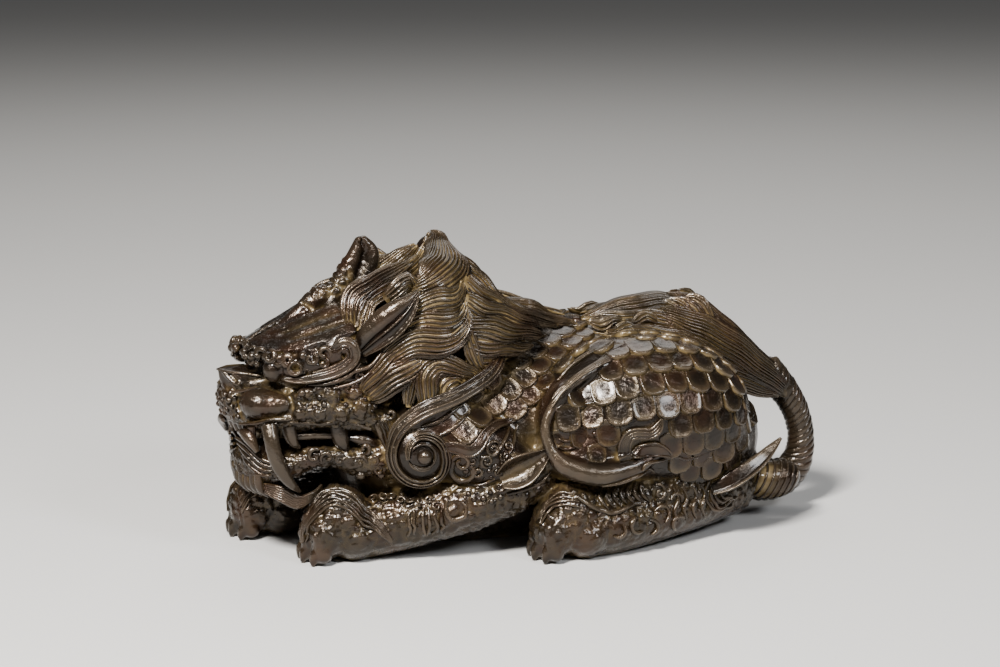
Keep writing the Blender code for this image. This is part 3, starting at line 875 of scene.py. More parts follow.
def buildLegs():
    clay = bmesh.new()
    foreLeg(clay, left, (-0.5, -20.5, 15.0), -47.8, -13.4)
    foreLeg(clay, right, (-1.5, -20.0, 14.6), -58.2, -8.2)
    hindFoot(clay, left)
    hindFoot(clay, right)
    made = fuse("qilinLegs", clay, legs["voxel"], legs["smoothing"])
    coords, normals = meshArrays(made)
    bumps = pebbles(coords, legs["pebbleSize"], 3)
    fine = pebbles(coords, legs["pebbleSize"] * 0.55, 5)
    lumps = pebbles(coords, legs["lumpSize"], 7)
    patchy = 0.6 + 0.4 * fade(pebbles(coords, legs["patchSize"], 9), 0.1, 0.9)
    calm = fade(coords[:, 2], 0.3, 1.4) * patchy * (0.12 + 0.88 * fade(coords[:, 2], 1.0, 8.0))
    rise = bumps * legs["pebbleHeight"] + fine * legs["fineHeight"] + lumps * legs["lumpHeight"]
    coords += normals * ((rise - legs["sunk"]) * calm)[:, None]
    setCoords(made, coords)
    addValues(made, "hollow", "FLOAT", (1 - bumps) * 0.6 * calm)
    return made


legsMesh = buildLegs()
print("legs:", len(legsMesh.polygons), "faces")


# head
head = {
    "voxel": 0.34,
    "smoothing": 2,
    "farBrowDrop": 2.0,
    "pebbles": (1.25, 0.42),  # size and height, as for the next two
    "coarse": (2.3, 0.3),
    "hornKnobs": (1.7, 0.7),
}


def turnHead(points):
    # the far brow sits a little lower; then the whole head turns about its pivot
    points = np.array(points, float)
    x, y, z = points[..., 0], points[..., 1], points[..., 2]
    share = np.clip(y / 15, 0, 1) * np.clip((z - 36) / 4, 0, 1) * np.clip((-34 - x) / 4, 0, 1)
    points[..., 2] -= head["farBrowDrop"] * share
    pivot = np.array(beast["headPivot"])
    angle = math.radians(beast["headTurn"])
    cosine, sine = math.cos(angle), math.sin(angle)
    turn = np.array([[cosine, -sine, 0], [sine, cosine, 0], [0, 0, 1]])
    return (points - pivot) @ turn.T + pivot


def turnRail(given):
    turned = dict(given)
    turned["points"] = turnHead(given["points"])
    pivot = np.array(beast["headPivot"])
    turned["outward"] = turnHead(given["outward"] + pivot) - pivot
    return turned


def brow(clay, side):
    # one brow plate: its inner edge, its lower edge and its rear edge
    edge = (
        (-55.6, -0.6, 42.8), (-51.7, -1.4, 44.9), (-47.9, -1.8, 46.4), (-42.6, -2.6, 48.2),
        (-39.8, -7.0, 49.8), (-39.0, -12.4, 48.3), (-38.6, -15.8, 46.0), (-42.4, -15.6, 45.4),
        (-46.4, -13.9, 43.6), (-50.2, -12.3, 42.5), (-53.6, -9.6, 42.2), (-56.4, -5.0, 41.8),
    )
    top = onSide(side, *edge)
    hull(clay, [*top, *((x + 1.6, 0.9 * y, z - 2.8) for x, y, z in top)])


def nose(clay, side):
    # a wedge with a flat top that runs out to a point in the middle
    points = (
        (-61.9, 0, 37.4), (-60.2, -2.3, 37.2), (-58.2, -3.9, 37.1), (-54.2, -5.6, 36.6),
        (-54.2, 0, 37.4), (-61.3, 0, 34.2), (-59.4, -3.6, 34.0), (-56.4, -5.6, 34.2),
    )
    hull(clay, onSide(side, *points))


def skull(clay):
    blob(clay, (-33, 0, 38), (13.5, 13.5, 12.0))
    blob(clay, (-46.5, 0, 37.5), (8.6, 11.6, 6.4))
    blob(clay, (-49, 0, 32.6), (9.4, 10.4, 5.2))
    blob(clay, (-56.6, 0, 33.0), (3.4, 5.0, 4.0))
    # stepped knobs at the foot of the horn, then the horn: a knobbed front and a smooth blade behind
    limb(clay, (-48.0, 0, 45.0, 1.3), (-45.2, 0, 46.8, 1.8), (-43.2, 0, 48.2, 1.8))
    limb(clay, (-43.2, 0, 48.2, 2.2), (-41.0, 0, 49.9, 2.1), (-39.2, 0, 50.8, 1.9))
    limb(clay, (-38.2, 0, 48, 3.0), (-35.6, 0, 53.2, 2.1), (-33.5, 0, 57.3, 1.6), (-32.2, 0, 60.5, 1.1))
    limb(clay, (-32.8, 0, 50, 2.6), (-30.4, 0, 55.0, 2.1), (-29.9, 0, 58.4, 1.6), (-31.3, 0, 60.8, 0.9))
    blob(clay, (-32.6, -0.8, 61.0), (0.7, 0.7, 0.7))


def face(clay):
    # eye, its inner block, and what carries the large spiral
    pair(clay, (-49.6, -11.8, 39.0), (3.0, 2.4, 2.4))
    pair(clay, (-53.6, -9.6, 38.5), (2.1, 2.1, 2.4))
    for x, y, z in ((-54.8, -9.6, 41.2), (-52.6, -11.8, 40.9), (-56.6, -6.4, 40.8),
        (-57.0, -3.0, 41.0), (-48.8, -13.6, 41.6)):
        pair(clay, (x, y, z), (1.15, 1.05, 1.0))
    pair(clay, (-41.6, -13.4, 42.0), (4.4, 3.4, 3.8))
    pair(clay, (-45.6, -12.4, 40.0), (4.0, 2.8, 3.0))
    # the smooth muzzle bulb that tapers back, then lumps along the cheek
    pair(clay, (-56.0, -7.4, 31.6), (3.6, 3.9, 3.2))
    for side in (left, right):
        limb(clay, *onSide(side, (-55.6, -7.8, 31.5, 3.3), (-53.0, -10.0, 31.6, 2.5),
            (-50.6, -11.8, 31.9, 1.3)))
        for x, y, z, radius in (
            (-49.6, -11.6, 32.4, 1.9), (-47.6, -12.4, 33.4, 1.9), (-47.0, -12.8, 31.2, 2.0),
            (-44.8, -13.4, 33.0, 2.1), (-43.6, -14.0, 31.6, 2.2), (-41.4, -14.0, 30.2, 1.8),
            (-38.6, -14.6, 32.4, 2.3), (-37.4, -15.2, 30.2, 2.4), (-36.2, -15.4, 28.4, 1.9),
            (-39.8, -14.4, 30.2, 2.0),
        ):
            blob(clay, onSide(side, (x, y, z))[0], (radius, radius, radius))
        # glossy lobes above the lip
        for x, y, z, wide, tall in (
            (-49.2, -13.4, 30.6, 1.9, 1.6), (-45.8, -14.4, 30.4, 2.2, 1.9),
            (-41.8, -15.4, 30.0, 2.1, 2.1), (-38.2, -16.4, 30.8, 1.8, 2.3),
            (-48.0, -13.4, 34.4, 1.6, 1.2), (-43.6, -14.8, 34.0, 1.8, 1.4),
            (-39.4, -15.8, 34.2, 1.6, 1.5),
        ):
            blob(clay, onSide(side, (x, y, z))[0], (wide, 1.6, tall))
    pair(clay, (-42.0, -12.6, 34.8), (6.4, 3.0, 2.2))
    pair(clay, (-38.2, -13.6, 36.6), (3.6, 3.0, 2.6))
    lip = [
        (-32.5, -14.8, 27.8, 2.4), (-39, -14.6, 28.2, 1.8), (-46, -13.0, 28.8, 1.7),
        (-52.4, -10.6, 28.4, 1.6), (-56.8, -6.2, 28.4, 1.7), (-58.6, 0, 28.6, 1.9),
    ]
    limb(clay, *lip, *((x, -y, z, radius) for x, y, z, radius in reversed(lip[:-1])))
    blob(clay, (-59.4, 0, 31.2), (2.0, 4.2, 3.6))


def jaws(clay):
    blob(clay, (-46.5, 0, 30.2), (10.0, 10.8, 2.6))
    jaw = [
        (-32.0, -12.6, 20.6, 4.2), (-37.6, -13.2, 19.6, 3.0), (-42.0, -12.6, 20.8, 2.1),
        (-46.4, -11.4, 20.8, 2.0), (-50.6, -9.4, 19.2, 2.6), (-54.4, -5.4, 18.4, 3.0),
        (-55.6, 0, 18.6, 3.0),
    ]
    limb(clay, *jaw, *((x, -y, z, radius) for x, y, z, radius in reversed(jaw[:-1])))
    blob(clay, (-44, 0, 21.0), (9.6, 10.0, 2.2))
    limb(clay, (-38, 0, 23.5, 3.6), (-46, 0, 24.6, 3.2), (-52.4, 0, 24.0, 2.4))
    pair(clay, (-29.6, -11.0, 22), (6.2, 4.4, 8.0))
    limb(clay, (-53.6, -6, 15.8, 2.0), (-54.4, 0, 15.2, 2.4), (-53.6, 6, 15.8, 2.0))


def reliefLines():
    # (height, stations) of what is raised or cut on the left half of the head
    ridge = [
        (0.35, [(-51.2, -3.6, 44.8, 0.5), (-45.3, -5.4, 47.4, 1.1), (-40.4, -7.6, 49.6, 1.5)]),
        (0.3, [(-50.2, -7.4, 44.2, 0.5), (-44.5, -10.0, 46.8, 1.0), (-39.6, -11.6, 48.6, 1.3)]),
        (0.3, [(-50.4, -10.4, 43.2, 0.5), (-44.4, -13.2, 45.6, 0.9), (-39.4, -14.6, 47.0, 0.9)]),
        (-0.22, [(-50.4, -5.6, 44.4, 0.5), (-45.4, -7.6, 46.8, 0.9), (-40.0, -9.8, 49.0, 0.9)]),
        (-0.22, [(-49.8, -9.2, 43.9, 0.5), (-44.4, -11.6, 46.2, 0.8), (-39.6, -13.2, 47.8, 0.8)]),
        # the crease between the bulb and the cheek, the nostril, and the hollow behind the nose
        (-0.7, [(-51.6, -11.4, 34.4, 0.4), (-50.9, -12.8, 32.2, 0.45), (-51.6, -13.0, 30.2, 0.4)]),
        (-1.2, [(-57.0, -5.6, 36.0, 0.6), (-55.4, -6.4, 36.2, 0.8), (-53.8, -7.0, 36.4, 0.6)]),
        (-1.0, [(-60.8, -2.6, 34.6, 0.5), (-59.8, -4.0, 34.0, 0.5)]),
        # V-shaped folds on the side of the nose
        (0.55, [(-61.2, -1.2, 37.2, 0.35), (-60.0, -3.0, 35.4, 0.4), (-58.8, -4.0, 34.8, 0.4)]),
        (0.55, [(-59.8, -2.8, 37.0, 0.3), (-58.8, -4.2, 35.2, 0.4), (-58.8, -4.0, 34.8, 0.4)]),
        (-0.7, [(-60.4, -2.2, 37.0, 0.3), (-59.4, -3.4, 35.8, 0.4), (-58.9, -3.9, 35.2, 0.3)]),
        # pupil, and the dark hollows among the curls
        (-2.2, [(-50.8, -14.0, 39.6, 0.75), (-50.4, -14.0, 39.4, 0.75)]),
        (-1.2, [(-46.4, -14.8, 41.2, 0.6), (-45.9, -15.0, 41.0, 0.6)]),
        (-1.3, [(-41.1, -16.8, 41.7, 0.7), (-40.6, -16.8, 41.4, 0.7)]),
        # the horn's long groove
        (-0.8, [(-32.0, -1.0, 60.9, 0.3), (-31.6, -1.6, 58.6, 0.4), (-32.6, -2.2, 54.6, 0.5),
            (-35.0, -2.8, 51.4, 0.4)]),
        (0.4, [(-31.4, -1.6, 60.6, 0.3), (-31.0, -2.2, 57.4, 0.4), (-32.6, -2.8, 52.8, 0.4)]),
        # plates at the foot of the horn
        (-0.8, [(-44.6, -1.0, 49.4, 0.35), (-43.4, -2.0, 48.8, 0.4), (-42.4, -2.8, 47.8, 0.4)]),
    ]
    for start in (-7.6, -4.6, -9.6, -12.4):
        ridge.append((-0.16, [(-50.6, 0.7 * start, 44.6, 0.2), (-45.0, start, 46.6, 0.25),
            (-39.8, 1.1 * start, 48.6, 0.2)]))
    return ridge


def buildHead():
    clay = bmesh.new()
    for side in (left, right):
        brow(clay, side)
        nose(clay, side)
    skull(clay)
    face(clay)
    jaws(clay)
    made = fuse("qilinHead", clay, head["voxel"], head["smoothing"], keepFloor=False)
    coords, normals = meshArrays(made)
    hollow = np.zeros(len(coords))
    for side in (left, right):
        for height, stations in reliefLines():
            stroke(coords, normals, hollow, onSide(side, *stations), height)
    # pebbles on cheeks, jaw and the front of the horn; the muzzle bulbs stay smooth
    low = fade(35.6 - coords[:, 2], 0.0, 2.0)
    smooth = np.ones(len(coords))
    for side in (left, right):
        for centre in ((-56.4, -9.0, 31.6), (-53.0, -11.4, 31.6)):
            gap = np.linalg.norm(coords - onSide(side, centre)[0], axis=1)
            smooth = np.minimum(smooth, 0.25 + 0.75 * fade(gap, 3.0, 4.4))
    hide = low * smooth
    fineSize, fineHeight = head["pebbles"]
    coarseSize, coarseHeight = head["coarse"]
    bumps = pebbles(coords, fineSize, 11)
    coarse = pebbles(coords, coarseSize, 13)
    rise = (bumps - 0.5) * fineHeight + (coarse - 0.5) * coarseHeight
    coords += normals * (rise * hide)[:, None]
    hollow = np.maximum(hollow, (1 - bumps) * hide * 0.7)
    inFront = -33.6 - 0.32 * (coords[:, 2] - 54) - coords[:, 0]
    horn = fade(coords[:, 2], 49.5, 51.5) * fade(inFront, 0.0, 0.8)
    knobSize, knobHeight = head["hornKnobs"]
    knobs = pebbles(coords, knobSize, 17)
    coords += normals * ((knobs - 0.4) * knobHeight * horn)[:, None]
    hollow = np.maximum(hollow, (1 - knobs) * horn)
    coords = turnHead(coords)
    setCoords(made, coords)
    addValues(made, "hollow", "FLOAT", hollow)
    return made


headMesh = buildHead()
print("head:", len(headMesh.polygons), "faces")

bodySkin = surfaceOf(bodyMesh, legsMesh)
headSkin = surfaceOf(headMesh)


# head trim: curls, ridges, ears, teeth and beard
trim = {
    "rollRim": 0.32,
    "curlDust": 0.6,
    "beardDust": 0.7,
}


def mirrored(given):
    # the same rail on the head's other side, before it is turned
    flip = np.array((1.0, -1.0, 1.0))
    other = dict(given)
    other["points"] = given["points"] * flip
    other["outward"] = given["outward"] * flip
    return other


def bothSides(rails):
    return [turnRail(r) for r in rails] + [turnRail(mirrored(r)) for r in rails]


def browRoll():
    # the large rolled spiral behind the eye
    return rail(
        [
            (-43.6, -15.6, 42.6, 0.4), (-42.8, -16.4, 43.9, 0.7), (-41.2, -17.0, 44.4, 0.85),
            (-39.9, -17.5, 43.3, 0.85), (-39.8, -17.5, 41.3, 0.85), (-41.2, -17.1, 39.6, 0.85),
            (-43.8, -16.1, 38.2, 0.8), (-46.8, -14.9, 37.4, 0.7), (-50.0, -13.9, 37.0, 0.5),
            (-52.4, -12.8, 37.2, 0.25),
        ],
        (-0.25, -1.0, 0.1),
    )


def browCurls():
    flank = (-0.25, -1.0, 0.1)
    rails = rimmed(browRoll(), trim["rollRim"])
    # the lines that run on from it below the eye
    for stations in (
        [
            (-43.0, -16.0, 41.6, 0.3), (-42.2, -16.7, 42.9, 0.45), (-41.2, -17.0, 42.8, 0.45),
            (-41.0, -17.1, 41.6, 0.45), (-42.2, -16.8, 40.4, 0.4), (-44.6, -15.9, 39.2, 0.4),
            (-47.2, -14.8, 38.4, 0.3),
        ],
        [(-38.6, -17.4, 40.2, 0.3), (-41.0, -16.8, 37.6, 0.5), (-44.6, -15.4, 36.2, 0.45),
            (-48.0, -14.0, 35.9, 0.25)],
        [(-42.8, -16.4, 37.0, 0.25), (-39.4, -17.2, 38.6, 0.4), (-36.6, -17.6, 39.4, 0.4),
            (-34.2, -17.4, 41.8, 0.25)],
        [(-43.6, -15.8, 35.2, 0.25), (-40.2, -16.6, 36.0, 0.4), (-37.4, -17.2, 37.4, 0.4),
            (-35.0, -17.6, 39.6, 0.25)],
    ):
        rails.append(rail(stations, flank))
    # curls between the spiral and the eye, the eye's ring, and the curls on the cheek behind it
    for x, y, z, radius, width, turns, start, hand in (
        (-45.2, -15.4, 42.2, 1.4, 0.6, 0.9, 0.9, 1.0), (-45.4, -15.3, 40.2, 1.2, 0.5, 0.8, 0.3, -1.0),
        (-47.6, -14.5, 41.2, 1.4, 0.6, 0.85, 0.15, -1.0), (-48.4, -13.8, 38.4, 1.0, 0.4, 1.0, 0.6, 1.0),
        (-38.4, -16.8, 37.4, 1.0, 0.35, 1.2, 0.2, 1.0), (-36.4, -17.0, 36.2, 1.1, 0.4, 1.2, 0.7, -1.0),
        (-40.4, -16.4, 35.2, 1.0, 0.35, 1.2, 0.4, 1.0),
    ):
        rails.append(snail((x, y, z), radius, (-0.35, -0.95, 0.1), width, turns, start, 0.35, 0.3, hand))
    rails.append(snail((-50.8, -14.2, 39.4), 1.25, (-0.45, -0.9, 0.15), 0.4, 1.0, 0.2, 1.0, 0.0))
    # oval curls under the brow's edge, and a knot of small ones at its front corner
    for index, (x, y, z) in enumerate(
        ((-55.7, -8.2, 41.5), (-54.4, -10.2, 41.2), (-53.0, -11.7, 40.8), (-51.6, -13.0, 41.0))
    ):
        facing = (-0.9 + 0.15 * index, -0.7 - 0.1 * index, 0.25)
        radius = 1.15 + 0.2 * (index % 2)
        hand = (-1.0) ** index
        rails.append(snail((x, y, z), radius, facing, 0.74, 1.0, 0.27 * index, 0.2, 0.6, hand))
    for index, (x, y, z) in enumerate(
        (
            (-56.2, -1.0, 42.2), (-56.4, -2.8, 42.1), (-56.0, -5.0, 41.8), (-57.0, -1.8, 40.6),
            (-57.0, -3.8, 40.4), (-56.6, -5.8, 40.1), (-56.4, -3.0, 39.0), (-55.8, -7.4, 39.6),
        )
    ):
        radius = 0.7 + 0.2 * (index % 3)
        rails.append(snail((x, y, z), radius, (-1.0, -0.45, 0.2), 0.5, 0.95, 0.31 * index, 0.2, 0.5))
    return bothSides(rails)


def jawCurls():
    rails = []
    flank = (-0.2, -1, -0.2)
    # the rim of the lip, and the nose's edge
    for stations in (
        [(-59.6, -6.4, 27.6, 0.3), (-57.4, -9.0, 28.1, 0.45), (-54.4, -11.6, 29.1, 0.5),
            (-51.4, -12.9, 29.2, 0.4)],
        [(-51.6, -13.0, 28.6, 0.3), (-46.0, -14.7, 28.2, 0.4), (-41.0, -15.7, 28.2, 0.4),
            (-36.4, -16.9, 26.7, 0.35)],
        [(-61.8, -0.4, 37.3, 0.2), (-60.1, -2.3, 37.1, 0.3), (-58.2, -3.9, 37.0, 0.3),
            (-54.6, -5.6, 36.5, 0.25)],
        [(-60.4, -4.4, 33.6, 0.3), (-58.4, -6.6, 34.2, 0.4), (-56.4, -8.2, 35.0, 0.3)],
    ):
        rails.append(rail(stations, flank))
    # curl row along the jaw, the rear lobe, chin and corner of the mouth
    for index in range(4):
        centre = (-46.8 + 2.4 * index, -13.4 - 0.5 * index, 21.6 - 0.5 * index)
        radius = 1.5 - 0.15 * index
        start = 0.15 + 0.45 * index
        hand = (-1.0) ** index
        rails.append(snail(centre, radius, (-0.3, -1, 0.1), 0.58, 0.85, start, 0.25, 0.4, hand))
    for x, y, z, radius, start in (
        (-38.4, -15.6, 20.0, 1.5, 0.0), (-35.4, -15.8, 20.4, 1.5, 0.4), (-37.2, -15.6, 22.6, 1.2, 0.7),
        (-34.4, -15.8, 18.0, 1.1, 0.1), (-52.6, -11.0, 19.2, 1.3, 0.3), (-57.4, -4.0, 20.2, 1.2, 0.9),
        (-57.6, -2.0, 17.4, 1.2, 0.2), (-32.4, -17.0, 29.4, 1.3, 0.5),
    ):
        rails.append(snail((x, y, z), radius, (-0.4, -1, 0.0), 0.52, 0.95, start, 0.25, 0.35))
    for index in range(4):
        fold = [
            (-59.0 + 0.4 * index, -2.0, 23.8 - 1.1 * index, 0.3),
            (-57.8, -5.2, 23.0 - 1.2 * index, 0.45),
            (-56.0, -8.0, 20.8 - 1.1 * index, 0.5),
            (-54.2, -9.8, 20.0 - 0.8 * index, 0.3),
        ]
        rails.append(rail(fold, (-0.7, -0.7, 0)))
    # petals at the corner of the mouth
    for index in range(4):
        back = 0.9 * index
        petal = [
            (-35.6 + back, -16.6, 28.4, 0.5),
            (-34.4 + back, -17.0, 25.6, 0.7),
            (-32.8 + 0.4 * index, -16.4, 21.8, 0.3),
        ]
        rails.append(rail(petal, (-0.2, -1, 0)))
    return bothSides(rails)


def teethRails():
    rails = []
    for out, *stations in (
        # the large fang
        ((-0.4, -1, 0), (-55.3, -11.6, 28.0, 1.55), (-55.3, -13.0, 25.2, 1.5), (-54.6, -13.6, 21.6, 1.45),
         (-53.2, -13.6, 18.6, 1.25), (-51.4, -13.2, 16.2, 0.9), (-49.6, -12.6, 14.6, 0.35)),
        ((-0.4, -1, 0), (-51.4, -11.8, 27.6, 1.5), (-50.8, -12.0, 24.8, 1.2), (-49.2, -11.6, 23.0, 0.4)),
        ((-0.2, -1, 0), (-42.0, -13.4, 27.4, 1.9), (-41.4, -13.8, 24.4, 1.7), (-40.2, -13.6, 21.8, 0.7)),
        ((-0.1, -1, 0.2), (-39.6, -14.0, 24.6, 0.6), (-36.6, -14.8, 24.0, 1.3),
         (-33.4, -15.0, 22.6, 0.4)),
        ((-0.2, -1, 0), (-49.4, -11.4, 25.2, 0.7), (-46.0, -12.4, 25.4, 0.8), (-43.0, -13.2, 25.2, 0.7)),
        ((-0.7, -0.8, 0), (-59.4, -5.0, 25.8, 0.4), (-58.4, -8.0, 25.4, 1.3), (-57.2, -10.0, 22.6, 0.5)),
    ):
        rails.append(rail(stations, out))
    # the small front teeth, above and below
    for index in range(4):
        y = 1.4 + 2.2 * index
        upper = [(-58.8 + 0.35 * index, -y, 27.4, 1.1), (-58.4 + 0.35 * index, -y, 25.2, 0.6)]
        lower = [(-55.6 + 0.5 * index, -y * 0.9, 20.4, 1.0), (-55.8 + 0.5 * index, -y * 0.9, 22.6, 0.5)]
        rails.extend(rail(stations, (-1, 0, 0)) for stations in (upper, lower))
    return bothSides(rails)


def beardRails():
    rails = []
    strand = (
        (-55.4, -7.4, 0, 15.4, 0.6, 0.3), (-52.6, -10.4, 0, 15.0, 1, 0.45),
        (-49.6, -11.6, 0, 13.2, 0.8, 0.45), (-46.4, -11.6, 0, 13.8, 0.4, 0.4),
        (-44.4, -10.4, 0, 14.8, 0.2, 0.25),
    )
    for index in range(6):
        rails.append(rail(lowered(strand, 0.5 * index), (-0.3, -1, 0.3)))
    # tufts under the chin
    for index in range(4):
        y = 1.5 + 2.0 * index
        tuft = [
            (-57.2 + 0.3 * index, -y, 17.6, 0.9),
            (-57.6 + 0.5 * index, -y, 14.8, 0.8),
            (-56.2 + 0.7 * index, -y * 0.9, 12.6, 0.3),
        ]
        rails.append(rail(tuft, (-1, -0.2, 0), strands=4, phase=index))
    return bothSides(rails)


def buildEars():
    # a leaf with a smooth hollow before its middle ridge and a rougher flap behind it
    spine = [
        (-38.4, -15.8, 42.0, 1.6), (-36.4, -17.0, 44.6, 2.9), (-33.4, -18.2, 47.4, 3.4),
        (-30.6, -19.0, 49.9, 2.8), (-28.5, -19.1, 52.0, 1.5), (-27.3, -19.0, 53.4, 0.2),
    ]
    section = [
        (-1.0, -0.1), (-0.9, 0.22), (-0.6, 0.42), (-0.25, 0.44), (0.02, 0.3), (0.14, 0.12), (0.22, 0.3),
        (0.32, 0.3), (0.44, 0.06), (0.72, 0.0), (0.92, 0.16), (1.0, 0.0),
    ]
    made = []
    for side in (left, right):
        out = onSide(side, (-0.3, -0.95, 0.25))[0]
        # the far one is shorter and leans out
        path = onSide(side, *spine)
        if side == right:
            path = [
                (-38.4 + 0.5 * (x + 38.4), y, 42 + 0.62 * (z - 42), 0.8 * half) for x, y, z, half in path
            ]
        mesh = leaf("ear", path, out, sectionOn(side, section), thickness=1.0)
        coords, _ = meshArrays(mesh)
        setCoords(mesh, turnHead(coords))
        made.append(mesh)
    return made


def buildHeadTrim():
    thin = sweep("thin", [*browCurls(), *jawCurls()], 8, 1.0, edgeDust=trim["curlDust"])
    rolls = sweep("rolls", bothSides([browRoll()]), 16, 0.7)
    teeth = sweep("teeth", teethRails(), 16, 0.9)
    beard = sweep("beard", beardRails(), 8, 1.1, 0.1, 0.2, edgeDust=trim["beardDust"])
    return joinMeshes("headTrim", thin, rolls, teeth, beard, *buildEars())


headTrimMesh = buildHeadTrim()
print("head trim:", len(headTrimMesh.polygons), "faces")


# hair
hair = {
    "pitch": 0.66,  # from strand to strand across a lock
    "wave": 0.22,
    "waveLength": 9.0,
    "rough": 0.12,  # how far single strands stand above or below their neighbours
    "depth": 1.8,  # height of a strand over its half width
    "girth": 2.45,  # the way over a lock from edge to edge, over its half width
    "bow": 1.62,  # how far the outermost strands turn away, in radians
    "strandHalf": 0.44,  # half width of a strand over the pitch
    "ripple": 0.05,
    "dust": 0.9,
    "seed": 100,
}


def strandLock(stations, outward, seed, flat=0.5, wave=1.0, drift=0.0):
    # a lock: fine strands side by side over a plain core, all following the stations' path;
    # with drift they cross it slantwise, from one edge towards the other
    draw = np.random.default_rng(seed)
    length = pathLength(stations)
    core = rail(stations, outward, step=0.9)
    _, out, across = railAxes(core)
    width = core["halfWidth"]
    widest = width.max()
    count = max(3, round(hair["girth"] * widest / hair["pitch"]))
    t = np.linspace(0, 1, len(width))
    start = draw.uniform(0, 6.3)
    strands = []
    extra = math.ceil(0.25 * abs(drift) * count)
    for index in range(-extra, count + extra):
        s = -1 + 2 * (index + 0.5) / count + drift * (t - 0.5)
        angle = s * hair["bow"]
        swing = np.sin(2 * math.pi * t * length / hair["waveLength"] + start + 0.9 * s)
        ripple = np.sin(t * draw.uniform(7, 15) + draw.uniform(0, 6.3))
        sway = swing * hair["wave"] * wave + hair["ripple"] * ripple
        side = np.sin(angle) * width + sway * (width / widest)
        height = flat * np.cos(angle) * width + draw.uniform(-1, 1) * hair["rough"] + 0.1 * swing
        points = core["points"] + across * side[:, None] + out * height[:, None]
        low = draw.uniform(0.0, 0.05)
        high = draw.uniform(0.93, 1.0)
        size = hair["strandHalf"] * hair["pitch"] * np.clip(width / widest, 0.3, 1.0) ** 0.8
        taper = np.clip(np.minimum((t - low) / 0.05 + 0.4, (high - t) / 0.12), 0.3, 1.0)
        keep = (t >= low) & (t <= high) & (abs(s) <= 1.0)
        if keep.sum() < 4:
            continue
        facing = unit(out * np.cos(angle)[:, None] + across * np.sin(angle)[:, None])
        strands.append(railOf(points[keep], (size * taper)[keep], facing[keep]))
    # the core ends a little before its strands do
    core["halfWidth"] = core["halfWidth"] * 0.97 * np.clip((1 - t) / 0.14, 0.35, 1.0)
    return {"core": core, "strands": strands}


def gather(name, locks, flat):
    cores = sweep(name + "Cores", [lock["core"] for lock in locks], 16, flat)
    rails = [r for lock in locks for r in lock["strands"]]
    strands = sweep(name + "Strands", rails, 7, hair["depth"], edgeDust=hair["dust"])
    cores.attributes["hollow"].data.foreach_set("value", np.ones(len(cores.vertices), np.float32))
    return joinMeshes(name, cores, strands)


def onHead(*stations):
    return [(*turnHead(np.array(station[:3])), station[3]) for station in stations]


